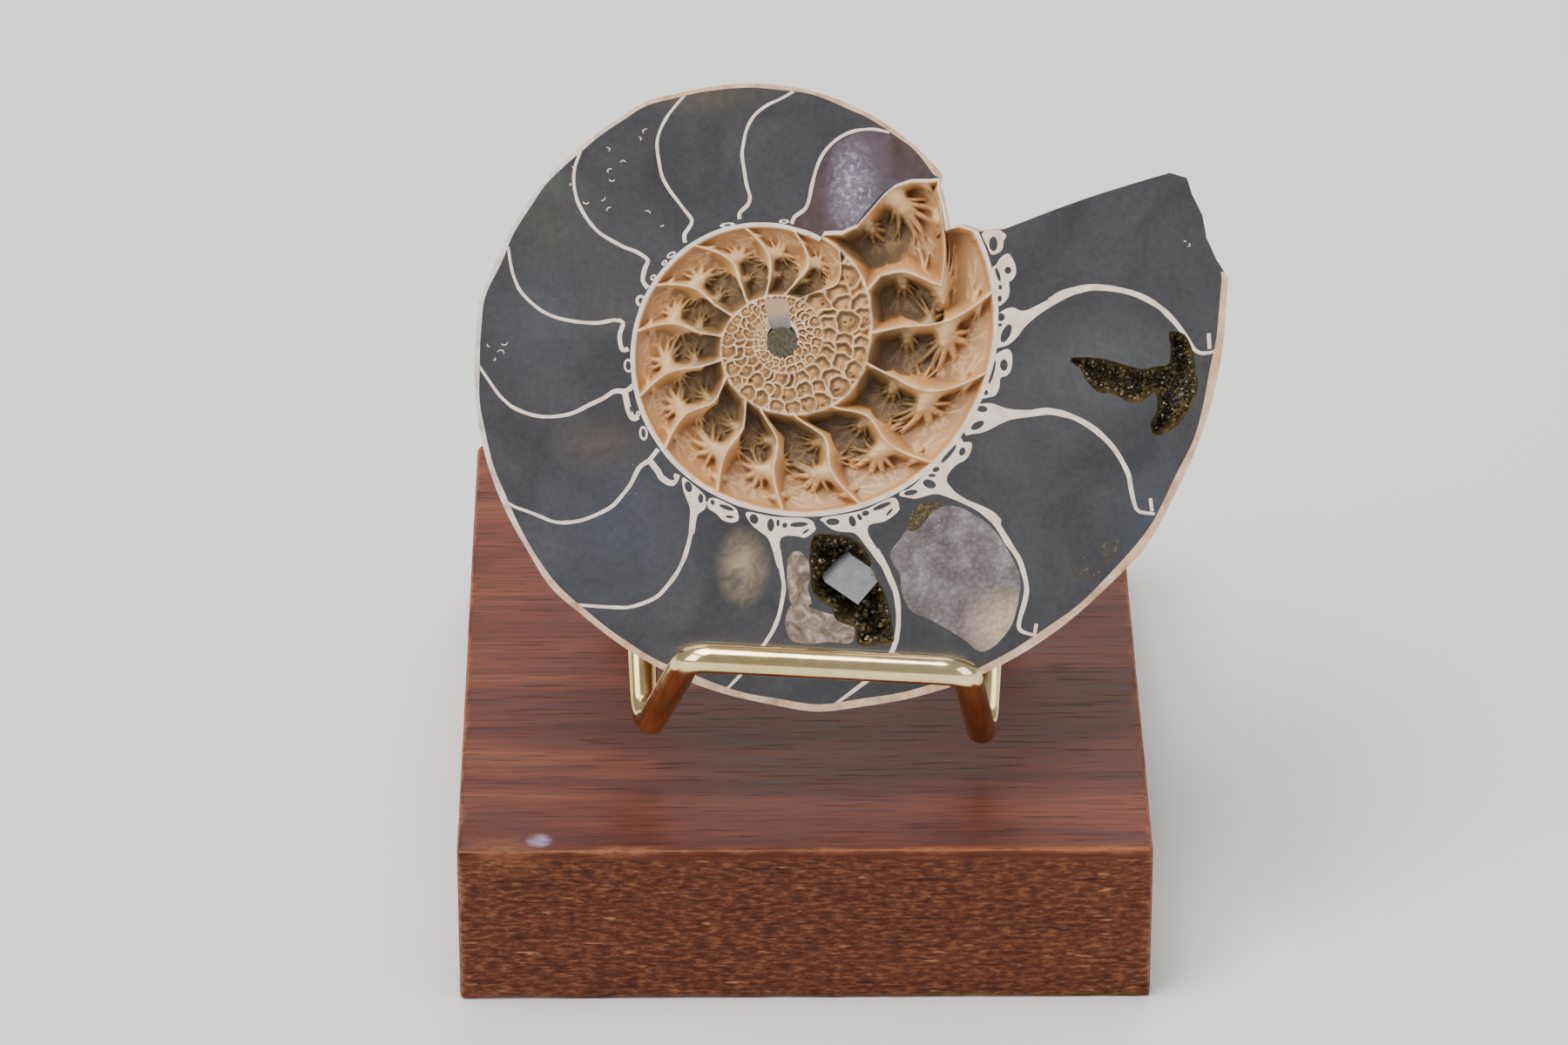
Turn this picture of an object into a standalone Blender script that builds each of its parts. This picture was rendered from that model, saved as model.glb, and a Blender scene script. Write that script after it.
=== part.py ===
"""Half of a cut and polished ammonite, leaning in a bent brass wire easel on a mahogany block.

The block stands on z = 0, centred on the origin, with its front towards -Y. The fossil is drawn in
the frame of its flat cut face: u runs to the right, v runs up the leaning face, and depth runs
straight back from it. Its coil is given by the turn, in degrees clockwise from the level line on the
right, and by the radius from the heart of the coil.
"""
import math
import random

import bmesh
import bpy
from mathutils import Vector, geometry

MM = 0.001
CLEARANCE = 0.3 * MM

# Block
BLOCK_WIDTH = 80.0 * MM
BLOCK_LENGTH = 100.0 * MM
BLOCK_HEIGHT = 20.0 * MM
BLOCK_EDGE = 0.5 * MM
HOLE_DEPTH = 12.0 * MM
CHIP_LENGTH = 10.0 * MM
CHIP_DEPTH = 0.9 * MM
CHIP_CENTRE_X = -34.5 * MM

# Wire easel: the places are those of the middle of the wire, each as (x, y, z)
WIRE_DIAMETER = 3.4 * MM
WIRE_SIDES_RESOLUTION = 3
BEND_STEPS = 6
POST_Y = 6.0 * MM
LEFT_POST_X = -20.5 * MM
RIGHT_POST_X = 24.0 * MM
POST_FOOT_Z = BLOCK_HEIGHT - HOLE_DEPTH + CLEARANCE
EASEL_TOP_Z = 70.0 * MM
LEFT_CREST = Vector((-20.5, -3.2, 70.0)) * MM
LEFT_HEEL = Vector((-18.4, -30.6, 24.6)) * MM
LEFT_TOE = Vector((-13.2, -45.4, 42.9)) * MM
RIGHT_TOE = Vector((18.4, -46.4, 41.4)) * MM
RIGHT_HEEL = Vector((21.0, -31.4, 23.7)) * MM
RIGHT_CREST = Vector((24.0, -1.7, 70.0)) * MM
CREST_BEND = 4.2 * MM
HEEL_BEND = 3.2 * MM
TOE_BEND = 3.0 * MM

# Place of the fossil's cut face
FACE_CENTRE = Vector((-2.4, -18.4, 69.9)) * MM
LEAN_BACK = math.radians(28.5)
FACE_RIGHT = Vector((1.0, 0.0, 0.0))
FACE_UP = Vector((0.0, math.sin(LEAN_BACK), math.cos(LEAN_BACK)))
FACE_BACK = Vector((0.0, math.cos(LEAN_BACK), -math.sin(LEAN_BACK)))

# Coil of the shell
MOUTH_RADIUS = 51.0 * MM
COIL_RATE = 0.1181
HEART_RATE = 0.17
HEART_START = 600.0
FULL_TURN = 360.0
HALF_BREADTH = 0.235
SHOULDER = 0.45
SEAM = 0.17
SEAM_DROP = 0.22
RIM_THICKNESS = 1.0 * MM
RIB_COUNT = 24
RIB_HEIGHT = 0.22 * MM
RIB_SWEEP = 26.0
SWELLINGS = (30.0, 85.0, 133.0, 187.0, 240.0)
SWELLING_HEIGHT = 0.45 * MM
SWELLING_HALF_WIDTH = 3.5

# Broken edge round the mouth, as (turn, radius in mm)
NOTCH_TURN = 315.0
MOUTH_TURN = 333.5
BROKEN_EDGE = (
    (316.5, 25.4), (322.0, 24.2), (327.0, 23.2), (328.2, 24.7), (332.0, 26.2), (334.2, 28.7),
    (335.6, 38.5), (337.2, 48.6), (338.7, 50.2), (344.0, 50.5), (350.0, 50.9), (352.6, 51.9),
)
COLUMN_STEP = 3.75
LAST_COLUMN = 356.3
RINGS = (0.985, 0.94, 0.86, 0.74, 0.6, 0.45, 0.3, 0.21, 0.178, 0.162, 0.12, 0.086, 0.077, 0.045)

# Open chambers, between one septum and the next: the turn of each septum half way across the whorl,
# and how far it sways from there at each fraction of the way from the inner wall to the outer
FIRST_SEPTUM_TURN = 356.0
SEPTUM_SPACING = 24.0
SEPTUM_COUNT = 13
FIRST_CHAMBER = -2
SEPTUM_SWAY = ((0.0, 3.0), (0.15, -1.5), (0.5, 1.5), (0.8, -2.0), (1.0, -6.0))
BROKEN_SEPTUM = (
    (0.0, 330.0), (0.14, 328.0), (0.35, 332.0), (0.6, 342.0), (0.72, 332.0), (0.87, 320.0), (1.0, 314.0),
)
LAST_FILLED_SEPTUM = (
    (0.0, 297.0), (0.08, 300.0), (0.19, 304.0), (0.49, 306.0), (0.7, 309.6), (0.9, 313.0), (1.0, 313.6),
)
SEPTUM_HALF_WALL = 0.35 * MM
NARROWEST_CHAMBER = 0.3
SPIRAL_WALL = 0.55 * MM
CHAMBER_ACROSS = 9
CHAMBER_ALONG = 8
CHAMBER_DEPTH = 0.42
SHALLOWEST_FLOOR = 0.6 * MM
FLOOR_SHARE = 0.68
HOLLOW_PLACE = (0.6, 0.3)
HOLLOW_REACH = 0.36
FAN_ROOT = 0.64
FAN_FINGERS = 8
FAN_BACKSET = 0.05
FAN_START = 0.3
FAN_SLOPE = 0.6
FINGER_RISE = 0.5
OUTER_SHARE = 0.6

# Small cells of the heart, in rows across the whorl
CELL_ROWS = (0.74, 0.4)
CELL_START = 655.0
CELL_END = 1010.0
CELL_SPACING = 17.0
CELL_SIDES = 6
CELL_FILL = 0.47
CELL_WHORL_SHARE = 0.36
CELL_TAPER = 0.7
CELL_DEPTH = 0.9 * MM
PLUG_RADIUS = 1.75 * MM

# Hollows with crystals in the outer whorl: outlines as (u, v) in mm
CUT_STANDOFF = 0.5 * MM
LOWER_HOLLOW = (
    (3.6, -22.9), (7.4, -22.9), (9.2, -24.0), (10.6, -27.0), (12.2, -31.0), (12.7, -35.2),
    (8.6, -35.4), (6.2, -32.6), (4.2, -30.2), (3.0, -27.4),
)
LOWER_HOLLOW_DEPTH = 5.0 * MM
RIGHT_HOLLOW = (
    (33.0, -2.6), (37.5, -2.7), (41.6, -3.7), (44.6, -3.2), (44.6, 0.4), (46.4, 0.2), (47.5, -2.4),
    (47.9, -6.1), (46.8, -8.8), (43.9, -11.3), (42.5, -10.4), (43.0, -6.6), (39.8, -7.5), (36.0, -6.2),
)
RIGHT_HOLLOW_DEPTH = 3.2 * MM
CRUST_THICKNESS = 0.7 * MM
CRUST_SPIKE = 0.9 * MM
LOWER_CRUST_SPACING = 1.5 * MM
RIGHT_CRUST_SPACING = 1.3 * MM
RHOMB_CENTRE = (8.3, -28.2)
RHOMB_SIDE = 4.4 * MM
RHOMB_TURN = math.radians(22.0)
RHOMB_TIP = 0.5 * MM
RHOMB_NARROWING = 0.78
RHOMB_FOOT = 0.7
CRUST_RIM_GAP = 0.35 * MM
CRUST_CORE_GAP = 0.45
CRUST_JITTER = 0.2
CRUST_LOWEST = 0.35
MERGE_DISTANCE = 0.01 * MM
SEED = 11


def clear_scene():
    for old in list(bpy.data.objects):
        bpy.data.objects.remove(old, do_unlink=True)


def make_material(name, colour, roughness, metallic=0.0):
    material = bpy.data.materials.new(name)
    material.use_nodes = True
    shader = material.node_tree.nodes["Principled BSDF"]
    shader.inputs["Base Color"].default_value = (*colour, 1.0)
    shader.inputs["Roughness"].default_value = roughness
    shader.inputs["Metallic"].default_value = metallic
    material.diffuse_color = (*colour, 1.0)
    return material


def add_object(name, mesh, material):
    mesh.materials.append(material)
    piece = bpy.data.objects.new(name, mesh)
    bpy.context.scene.collection.objects.link(piece)
    return piece


def mesh_from(name, form):
    mesh = bpy.data.meshes.new(name)
    form.to_mesh(mesh)
    form.free()
    return mesh


def cut_with(piece, cutter, operation="DIFFERENCE"):
    cutter.hide_render = True
    cutter.display_type = "WIRE"
    boolean = piece.modifiers.new(f"{operation.lower()}_{cutter.name}", "BOOLEAN")
    boolean.operation = operation
    boolean.object = cutter
    boolean.solver = "EXACT"
    return boolean


def interpolate(pairs, place):
    """Straight-line reading of a short list of (place, value) pairs."""
    if place <= pairs[0][0]:
        return pairs[0][1]
    for (low, start), (high, end) in zip(pairs, pairs[1:]):
        if place <= high:
            return start + (end - start) * (place - low) / (high - low)
    return pairs[-1][1]


# Block

def build_block():
    form = bmesh.new()
    bmesh.ops.create_cube(form, size=1.0)
    bmesh.ops.scale(form, vec=(BLOCK_WIDTH, BLOCK_LENGTH, BLOCK_HEIGHT), verts=form.verts)
    bmesh.ops.translate(form, vec=(0.0, 0.0, BLOCK_HEIGHT / 2), verts=form.verts)
    bmesh.ops.bevel(form, geom=form.edges[:], offset=BLOCK_EDGE, segments=2, profile=0.5, affect="EDGES")
    mahogany = make_material("mahogany", (0.2, 0.065, 0.035), 0.5)
    block = add_object("base_block", mesh_from("base_block", form), mahogany)

    holes = bmesh.new()
    for post_x in (LEFT_POST_X, RIGHT_POST_X):
        drill = bmesh.ops.create_cone(
            holes, cap_ends=True, segments=20, depth=2 * HOLE_DEPTH,
            radius1=WIRE_DIAMETER / 2 + CLEARANCE, radius2=WIRE_DIAMETER / 2 + CLEARANCE,
        )
        bmesh.ops.translate(holes, vec=(post_x, POST_Y, BLOCK_HEIGHT), verts=drill["verts"])
    drills = add_object("post_drills", mesh_from("post_drills", holes), mahogany)
    cut_with(block, drills)

    splinter = bmesh.new()
    bmesh.ops.create_icosphere(splinter, subdivisions=1, radius=1.0)
    bmesh.ops.scale(splinter, vec=(CHIP_LENGTH / 2, CHIP_DEPTH, CHIP_DEPTH), verts=splinter.verts)
    bmesh.ops.translate(
        splinter, vec=(CHIP_CENTRE_X, -BLOCK_LENGTH / 2, BLOCK_HEIGHT), verts=splinter.verts)
    chip = add_object("edge_chip", mesh_from("edge_chip", splinter), mahogany)
    cut_with(block, chip)
    return block


# Wire easel

def rounded_route(corners):
    """Points along a wire that is bent at each inner corner to the bend radius given with it."""
    route = [corners[0][0]]
    for (before, _), (corner, bend), (after, _) in zip(corners, corners[1:], corners[2:]):
        back = (before - corner).normalized()
        ahead = (after - corner).normalized()
        half_angle = back.angle(ahead) / 2
        tangent = bend / math.tan(half_angle)
        start = corner + back * tangent
        end = corner + ahead * tangent
        centre = corner + (back + ahead).normalized() * (bend / math.sin(half_angle))
        for step in range(BEND_STEPS + 1):
            share = step / BEND_STEPS
            arm = (start - centre).normalized().slerp((end - centre).normalized(), share)
            route.append(centre + arm * bend)
    route.append(corners[-1][0])
    return route


def easel_corners():
    left_foot = Vector((LEFT_POST_X, POST_Y, POST_FOOT_Z))
    left_head = Vector((LEFT_POST_X, POST_Y, EASEL_TOP_Z))
    right_foot = Vector((RIGHT_POST_X, POST_Y, POST_FOOT_Z))
    right_head = Vector((RIGHT_POST_X, POST_Y, EASEL_TOP_Z))
    return [
        (left_foot, 0.0), (left_head, CREST_BEND), (LEFT_CREST, CREST_BEND), (LEFT_HEEL, HEEL_BEND),
        (LEFT_TOE, TOE_BEND), (RIGHT_TOE, TOE_BEND), (RIGHT_HEEL, HEEL_BEND),
        (RIGHT_CREST, CREST_BEND), (right_head, CREST_BEND), (right_foot, 0.0),
    ]


def build_easel():
    curve = bpy.data.curves.new("wire_easel", "CURVE")
    curve.dimensions = "3D"
    curve.bevel_depth = WIRE_DIAMETER / 2
    curve.bevel_resolution = WIRE_SIDES_RESOLUTION
    curve.use_fill_caps = True
    route = rounded_route(easel_corners())
    spline = curve.splines.new("POLY")
    spline.points.add(len(route) - 1)
    for point, place in zip(spline.points, route):
        point.co = (*place, 1.0)
    return add_object("wire_easel", curve, make_material("brass", (0.78, 0.6, 0.3), 0.22, 1.0))


# Fossil

def face_point(u, v, depth):
    return FACE_CENTRE + FACE_RIGHT * u + FACE_UP * v + FACE_BACK * depth


def coil_point(turn, radius, depth):
    angle = math.radians(turn)
    return face_point(radius * math.cos(angle), -radius * math.sin(angle), depth)


def wall_radius(turn):
    """Radius of the spiral wall, which winds in from the mouth and faster near the heart."""
    outer = min(turn, HEART_START)
    inner = max(turn - HEART_START, 0.0)
    return MOUTH_RADIUS * math.exp(-math.radians(outer * COIL_RATE + inner * HEART_RATE))


def outline_radius(turn):
    if turn > NOTCH_TURN:
        pairs = ((NOTCH_TURN, wall_radius(NOTCH_TURN) / MM),) + BROKEN_EDGE
        pairs += ((FULL_TURN, MOUTH_RADIUS / MM),)
        return interpolate(pairs, turn) * MM
    swelling = sum(math.exp(-((turn - peak) / SWELLING_HALF_WIDTH) ** 2) for peak in SWELLINGS)
    return wall_radius(turn) + SWELLING_HEIGHT * swelling


def flank_depth(turn, radius):
    """Depth of the shell's outer side behind the cut face; inner whorls show in the umbilicus."""
    outer = wall_radius(turn)
    share = radius / outer
    if share < SEAM and turn < HEART_START:
        return flank_depth(turn + FULL_TURN, radius)
    if share < SHOULDER:
        fullness = 1.0 - SEAM_DROP * ((SHOULDER - max(share, SEAM)) / (SHOULDER - SEAM)) ** 2
    else:
        fullness = math.sqrt(max(0.0, 1.0 - ((share - SHOULDER) / (1.0 - SHOULDER)) ** 2))
    rib = math.cos(math.radians(RIB_COUNT * turn + RIB_SWEEP * RIB_COUNT * share * share))
    return max(RIM_THICKNESS, HALF_BREADTH * outer * fullness + RIB_HEIGHT * rib * fullness)


def shell_columns():
    """Turns at which the shell is drawn: evenly along the coil, then each point of the broken edge."""
    turns = [step * COLUMN_STEP for step in range(int(NOTCH_TURN / COLUMN_STEP) + 1)]
    return turns + [turn for turn, _ in BROKEN_EDGE] + [LAST_COLUMN]


def build_shell():
    form = bmesh.new()
    columns = []
    for turn in shell_columns():
        own_turn = turn - FULL_TURN if turn > MOUTH_TURN else turn
        edge = outline_radius(turn)
        wall = wall_radius(own_turn)
        column = [form.verts.new(coil_point(turn, edge, 0.0))]
        column.append(form.verts.new(coil_point(turn, edge, flank_depth(own_turn, edge))))
        for share in RINGS:
            radius = share * (wall + (edge - wall) * share * share)
            column.append(form.verts.new(coil_point(turn, radius, flank_depth(own_turn, radius))))
        columns.append(column)
    heart = form.verts.new(coil_point(0.0, 0.0, flank_depth(HEART_START, 0.0)))
    for here, there in zip(columns, columns[1:] + columns[:1]):
        for (a, b), (c, d) in zip(zip(here, here[1:]), zip(there, there[1:])):
            form.faces.new((a, c, d, b))
        form.faces.new((here[-1], there[-1], heart))
    form.faces.new([column[0] for column in reversed(columns)])
    bmesh.ops.recalc_face_normals(form, faces=form.faces)
    return mesh_from("ammonite_half", form)


def septum_turn(septum, across):
    """Turn of a septum at a fraction of the way from the inner wall to the outer one."""
    if septum == FIRST_CHAMBER:
        return interpolate(LAST_FILLED_SEPTUM, across)
    if septum == FIRST_CHAMBER + 1:
        return interpolate(BROKEN_SEPTUM, across)
    return FIRST_SEPTUM_TURN + SEPTUM_SPACING * septum + interpolate(SEPTUM_SWAY, across)


def floor_share(along, across):
    """How deep a chamber's floor lies, from 0 to 1: a round hollow, and a fan of raised fingers."""
    from_hollow = math.hypot(along - HOLLOW_PLACE[0], across - HOLLOW_PLACE[1]) / HOLLOW_REACH
    if from_hollow < 1.0:
        return OUTER_SHARE + (1.0 - OUTER_SHARE) * math.sqrt(1.0 - from_hollow ** 2)
    reach = math.hypot(along, across - FAN_ROOT)
    bearing = math.atan2(across - FAN_ROOT, along + FAN_BACKSET)
    finger = max(0.0, math.cos(bearing * FAN_FINGERS)) ** 2
    return min(OUTER_SHARE, FAN_START + FAN_SLOPE * reach) * (1.0 - FINGER_RISE * finger * (1.0 - reach / 2))


def add_patch(form, fronts, floors):
    """Close a cutter between a grid of front points and the matching grid of floor points."""
    top = [[form.verts.new(place) for place in row] for row in fronts]
    low = [[form.verts.new(place) for place in row] for row in floors]
    rows, last = len(top), len(top[0]) - 1
    for i in range(rows - 1):
        for j in range(last):
            form.faces.new((top[i][j], top[i + 1][j], top[i + 1][j + 1], top[i][j + 1]))
            form.faces.new((low[i][j], low[i][j + 1], low[i + 1][j + 1], low[i + 1][j]))
        form.faces.new((top[i][0], low[i][0], low[i + 1][0], top[i + 1][0]))
        form.faces.new((top[i][last], top[i + 1][last], low[i + 1][last], low[i][last]))
    for j in range(last):
        form.faces.new((top[0][j], top[0][j + 1], low[0][j + 1], low[0][j]))
        form.faces.new((top[rows - 1][j], low[rows - 1][j], low[rows - 1][j + 1], top[rows - 1][j + 1]))


def add_chamber(form, septum):
    fronts, floors = [], []
    for i in range(CHAMBER_ALONG + 1):
        along = i / CHAMBER_ALONG
        front_row, floor_row = [], []
        for j in range(CHAMBER_ACROSS + 1):
            across = j / CHAMBER_ACROSS
            start = septum_turn(septum, across)
            end = septum_turn(septum + 1, across)
            turn = start + (end - start) * along
            inner = wall_radius(turn + FULL_TURN) + SPIRAL_WALL
            outer = wall_radius(turn) - SPIRAL_WALL
            radius = inner + (outer - inner) * across
            wall = math.degrees(SEPTUM_HALF_WALL / radius)
            gap = max(end - start - 2 * wall, NARROWEST_CHAMBER)
            turn = (start + end) / 2 + gap * (along - 0.5)
            body = FLOOR_SHARE * flank_depth(turn, radius)
            wanted = CHAMBER_DEPTH * (outer - inner) * floor_share(along, across)
            front_row.append(coil_point(turn, radius, -CUT_STANDOFF))
            floor_row.append(coil_point(turn, radius, max(SHALLOWEST_FLOOR, min(wanted, body))))
        fronts.append(front_row)
        floors.append(floor_row)
    add_patch(form, fronts, floors)


def add_cell(form, turn, across, width):
    inner = wall_radius(turn + FULL_TURN)
    outer = wall_radius(turn)
    centre = coil_point(turn, inner + (outer - inner) * across, 0.0)
    top, low = [], []
    for step in range(CELL_SIDES):
        angle = math.tau * step / CELL_SIDES
        spoke = (FACE_RIGHT * math.cos(angle) + FACE_UP * math.sin(angle)) * width
        top.append(form.verts.new(centre + spoke - FACE_BACK * CUT_STANDOFF))
        low.append(form.verts.new(centre + spoke * CELL_TAPER + FACE_BACK * CELL_DEPTH))
    form.faces.new(top)
    form.faces.new(list(reversed(low)))
    for step in range(CELL_SIDES):
        after = (step + 1) % CELL_SIDES
        form.faces.new((top[step], low[step], low[after], top[after]))


def add_hollow(form, outline, depth):
    """A pit with the given outline and a flat floor."""
    top = [form.verts.new(face_point(u * MM, v * MM, -CUT_STANDOFF)) for u, v in outline]
    low = [form.verts.new(face_point(u * MM, v * MM, depth)) for u, v in outline]
    form.faces.new(top)
    form.faces.new(list(reversed(low)))
    for step in range(len(outline)):
        after = (step + 1) % len(outline)
        form.faces.new((top[step], low[step], low[after], top[after]))


def build_pits():
    form = bmesh.new()
    for septum in range(FIRST_CHAMBER, SEPTUM_COUNT - 1):
        add_chamber(form, septum)
    turn = CELL_START
    while turn < CELL_END:
        for across in CELL_ROWS:
            whorl = wall_radius(turn) - wall_radius(turn + FULL_TURN)
            radius = wall_radius(turn + FULL_TURN) + whorl * across
            width = CELL_FILL * min(math.radians(CELL_SPACING) * radius, whorl * CELL_WHORL_SHARE)
            if radius > PLUG_RADIUS + width:
                add_cell(form, turn, across, width)
        turn += CELL_SPACING
    add_hollow(form, LOWER_HOLLOW, LOWER_HOLLOW_DEPTH)
    add_hollow(form, RIGHT_HOLLOW, RIGHT_HOLLOW_DEPTH)
    bmesh.ops.recalc_face_normals(form, faces=form.faces)
    return mesh_from("pits", form)


def build_fossil():
    stone = make_material("polished_fossil", (0.36, 0.3, 0.23), 0.3)
    fossil = add_object("ammonite_half", build_shell(), stone)
    pits = add_object("pits", build_pits(), stone)
    cut_with(fossil, pits)
    return fossil


# Crystal crusts

def inside(outline, u, v):
    """True where a point lies inside a closed outline."""
    crossings = 0
    for (u1, v1), (u2, v2) in zip(outline, outline[1:] + outline[:1]):
        if (v1 > v) != (v2 > v) and u < u1 + (u2 - u1) * (v - v1) / (v2 - v1):
            crossings += 1
    return crossings % 2 == 1


def drawn_in(outline, gap):
    """The outline moved inwards by a gap; it runs clockwise as seen from the front."""
    moved = []
    count = len(outline)
    for index, (u, v) in enumerate(outline):
        before = Vector(outline[index - 1])
        here = Vector((u, v))
        after = Vector(outline[(index + 1) % count])
        first = (here - before).normalized()
        second = (after - here).normalized()
        normal_a = Vector((first.y, -first.x))
        normal_b = Vector((second.y, -second.x))
        mitre = (normal_a + normal_b).normalized()
        moved.append(here + mitre * (gap / max(mitre.dot(normal_a), 0.5)))
    return [(place.x, place.y) for place in moved]


def build_crust(name, outline, floor, spacing, material):
    """A slab on the floor of a hollow, whose front is all small pointed crystals."""
    rim = drawn_in([(u * MM, v * MM) for u, v in outline], CRUST_RIM_GAP)
    core = drawn_in(rim, spacing * CRUST_CORE_GAP)
    chance = random.Random(SEED)
    places = [Vector(place) for place in rim]
    low_u, high_u = min(u for u, _ in rim), max(u for u, _ in rim)
    low_v, high_v = min(v for _, v in rim), max(v for _, v in rim)
    for row in range(int((high_v - low_v) / spacing) + 1):
        for column in range(int((high_u - low_u) / spacing) + 1):
            u = low_u + spacing * (column + row % 2 / 2 + chance.uniform(-CRUST_JITTER, CRUST_JITTER))
            v = low_v + spacing * (row + chance.uniform(-CRUST_JITTER, CRUST_JITTER))
            if inside(core, u, v):
                places.append(Vector((u, v)))
    edges = [(index, (index + 1) % len(rim)) for index in range(len(rim))]
    flat, _, triangles, _, _, _ = geometry.delaunay_2d_cdt(places, edges, [], 1, MERGE_DISTANCE)
    form = bmesh.new()
    back = floor - CLEARANCE
    base = [form.verts.new(face_point(place.x, place.y, back)) for place in flat]
    front = []
    for place in flat:
        front.append(form.verts.new(face_point(place.x, place.y, back - CRUST_THICKNESS)))
    rim_sides = {}
    for triangle in triangles:
        a, b, c = triangle
        form.faces.new((base[a], base[c], base[b]))
        middle = (flat[a] + flat[b] + flat[c]) / 3
        height = CRUST_THICKNESS + CRUST_SPIKE * chance.uniform(CRUST_LOWEST, 1.0)
        tip = form.verts.new(face_point(middle.x, middle.y, back - height))
        for start, end in ((a, b), (b, c), (c, a)):
            form.faces.new((front[start], front[end], tip))
            rim_sides[(start, end)] = (end, start) not in rim_sides
            if (end, start) in rim_sides:
                rim_sides[(end, start)] = False
    for (start, end), is_rim in rim_sides.items():
        if is_rim:
            form.faces.new((front[end], front[start], base[start], base[end]))
    bmesh.ops.recalc_face_normals(form, faces=form.faces)
    return add_object(name, mesh_from(name, form), material)


def build_rhomb(material):
    """The large slanting calcite rhomb that stands in the lower hollow."""
    form = bmesh.new()
    u, v = RHOMB_CENTRE
    depth = LOWER_HOLLOW_DEPTH - CLEARANCE - CRUST_THICKNESS / 2
    low, top = [], []
    for step in range(4):
        angle = RHOMB_TURN + math.tau * (step + 0.5) / 4
        stretch = 1.0 if step % 2 else RHOMB_NARROWING
        spread_u = math.cos(angle) * RHOMB_SIDE / math.sqrt(2) * stretch
        spread_v = math.sin(angle) * RHOMB_SIDE / math.sqrt(2) * stretch
        foot = face_point(u * MM + spread_u * RHOMB_FOOT, v * MM + spread_v * RHOMB_FOOT, depth)
        low.append(form.verts.new(foot))
        top.append(form.verts.new(face_point(u * MM + spread_u, v * MM + spread_v, RHOMB_TIP)))
    form.faces.new(top)
    form.faces.new(list(reversed(low)))
    for step in range(4):
        after = (step + 1) % 4
        form.faces.new((top[step], low[step], low[after], top[after]))
    bmesh.ops.recalc_face_normals(form, faces=form.faces)
    return add_object("calcite_rhomb", mesh_from("calcite_rhomb", form), material)


def build_crusts():
    calcite = make_material("calcite", (0.42, 0.41, 0.38), 0.25)
    druse = make_material("dark_druse", (0.09, 0.08, 0.04), 0.3)
    lower = build_crust(
        "crystal_crust_lower", LOWER_HOLLOW, LOWER_HOLLOW_DEPTH, LOWER_CRUST_SPACING, calcite)
    cut_with(lower, build_rhomb(calcite), "UNION")
    right = build_crust(
        "crystal_crust_right", RIGHT_HOLLOW, RIGHT_HOLLOW_DEPTH, RIGHT_CRUST_SPACING, druse)
    return lower, right


def main():
    clear_scene()
    build_block()
    build_easel()
    build_fossil()
    build_crusts()


main()
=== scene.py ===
"""Finished look of a cut and polished ammonite half, leaning in a brass wire easel on a mahogany block.

Run as a script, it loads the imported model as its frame, then models each piece by its own operator.
Lengths in the tables are millimetres on the cut face: u to the right, v up, from the coil's heart.
"""
import math
import random

import bmesh
import bpy
import numpy as np
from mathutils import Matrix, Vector, geometry, noise


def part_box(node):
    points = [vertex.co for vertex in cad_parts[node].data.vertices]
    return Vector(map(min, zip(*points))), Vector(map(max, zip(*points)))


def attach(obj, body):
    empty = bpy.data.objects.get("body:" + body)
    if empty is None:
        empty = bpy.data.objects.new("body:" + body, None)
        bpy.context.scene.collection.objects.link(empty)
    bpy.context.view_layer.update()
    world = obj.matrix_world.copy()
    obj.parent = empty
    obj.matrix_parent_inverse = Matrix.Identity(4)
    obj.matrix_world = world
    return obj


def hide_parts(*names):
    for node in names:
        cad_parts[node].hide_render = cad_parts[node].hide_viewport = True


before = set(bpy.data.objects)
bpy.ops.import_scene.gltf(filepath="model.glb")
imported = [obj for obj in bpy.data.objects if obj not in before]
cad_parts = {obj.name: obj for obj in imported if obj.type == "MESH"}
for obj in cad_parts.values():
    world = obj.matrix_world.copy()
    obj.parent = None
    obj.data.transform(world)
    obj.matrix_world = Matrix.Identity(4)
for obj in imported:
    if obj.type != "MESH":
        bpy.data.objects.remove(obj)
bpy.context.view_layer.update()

bl_info = {
    "name": "Ammonite half on its stand",
    "version": (1, 0, 0),
    "blender": (4, 5, 0),
    "location": "View3D > Sidebar > Ammonite",
    "description": "Models a cut ammonite half, its wire easel and its block",
    "category": "Object",
}

MM = 0.001
BLOCK_LOW, BLOCK_HIGH = (Vector(corner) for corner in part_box("base_block"))

# The cut face
LEAN_BACK = math.radians(28.5)
FACE_CENTRE = np.array((-2.4, -18.4, 69.9)) * MM
FACE_RIGHT = np.array((1.0, 0.0, 0.0))
FACE_UP = np.array((0.0, math.sin(LEAN_BACK), math.cos(LEAN_BACK)))
FACE_BACK = np.array((0.0, math.cos(LEAN_BACK), -math.sin(LEAN_BACK)))

# The coil: radius of its spiral wall at every eighth of a turn, one before the mouth first
EIGHTH = 45.0
FULL_TURN = 360.0
WALL_EIGHTHS = (
    55.9, 51.0, 46.5, 42.4, 38.6, 35.2, 32.0, 29.1, 26.4, 24.9, 22.75, 20.5, 19.1, 17.3, 15.2, 13.1,
    11.8, 10.2, 9.9, 8.7, 7.9, 6.8, 5.4, 4.8, 4.8, 4.75, 4.5, 4.1, 3.7, 3.2, 2.8, 2.4, 2.1, 1.9, 1.8,
    1.7, 1.7, 1.7,
)
HALF_BREADTH = 0.235
SHOULDER = 0.45
SEAM = 0.17
SEAM_DROP = 0.22
DEEPEST_TURN = 600.0
RIM_DEPTH = 1.0
SWELLINGS = (30.0, 85.0, 133.0, 187.0, 240.0)
SWELLING_HEIGHT = 0.45
SWELLING_HALF_WIDTH = 5.0

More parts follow.
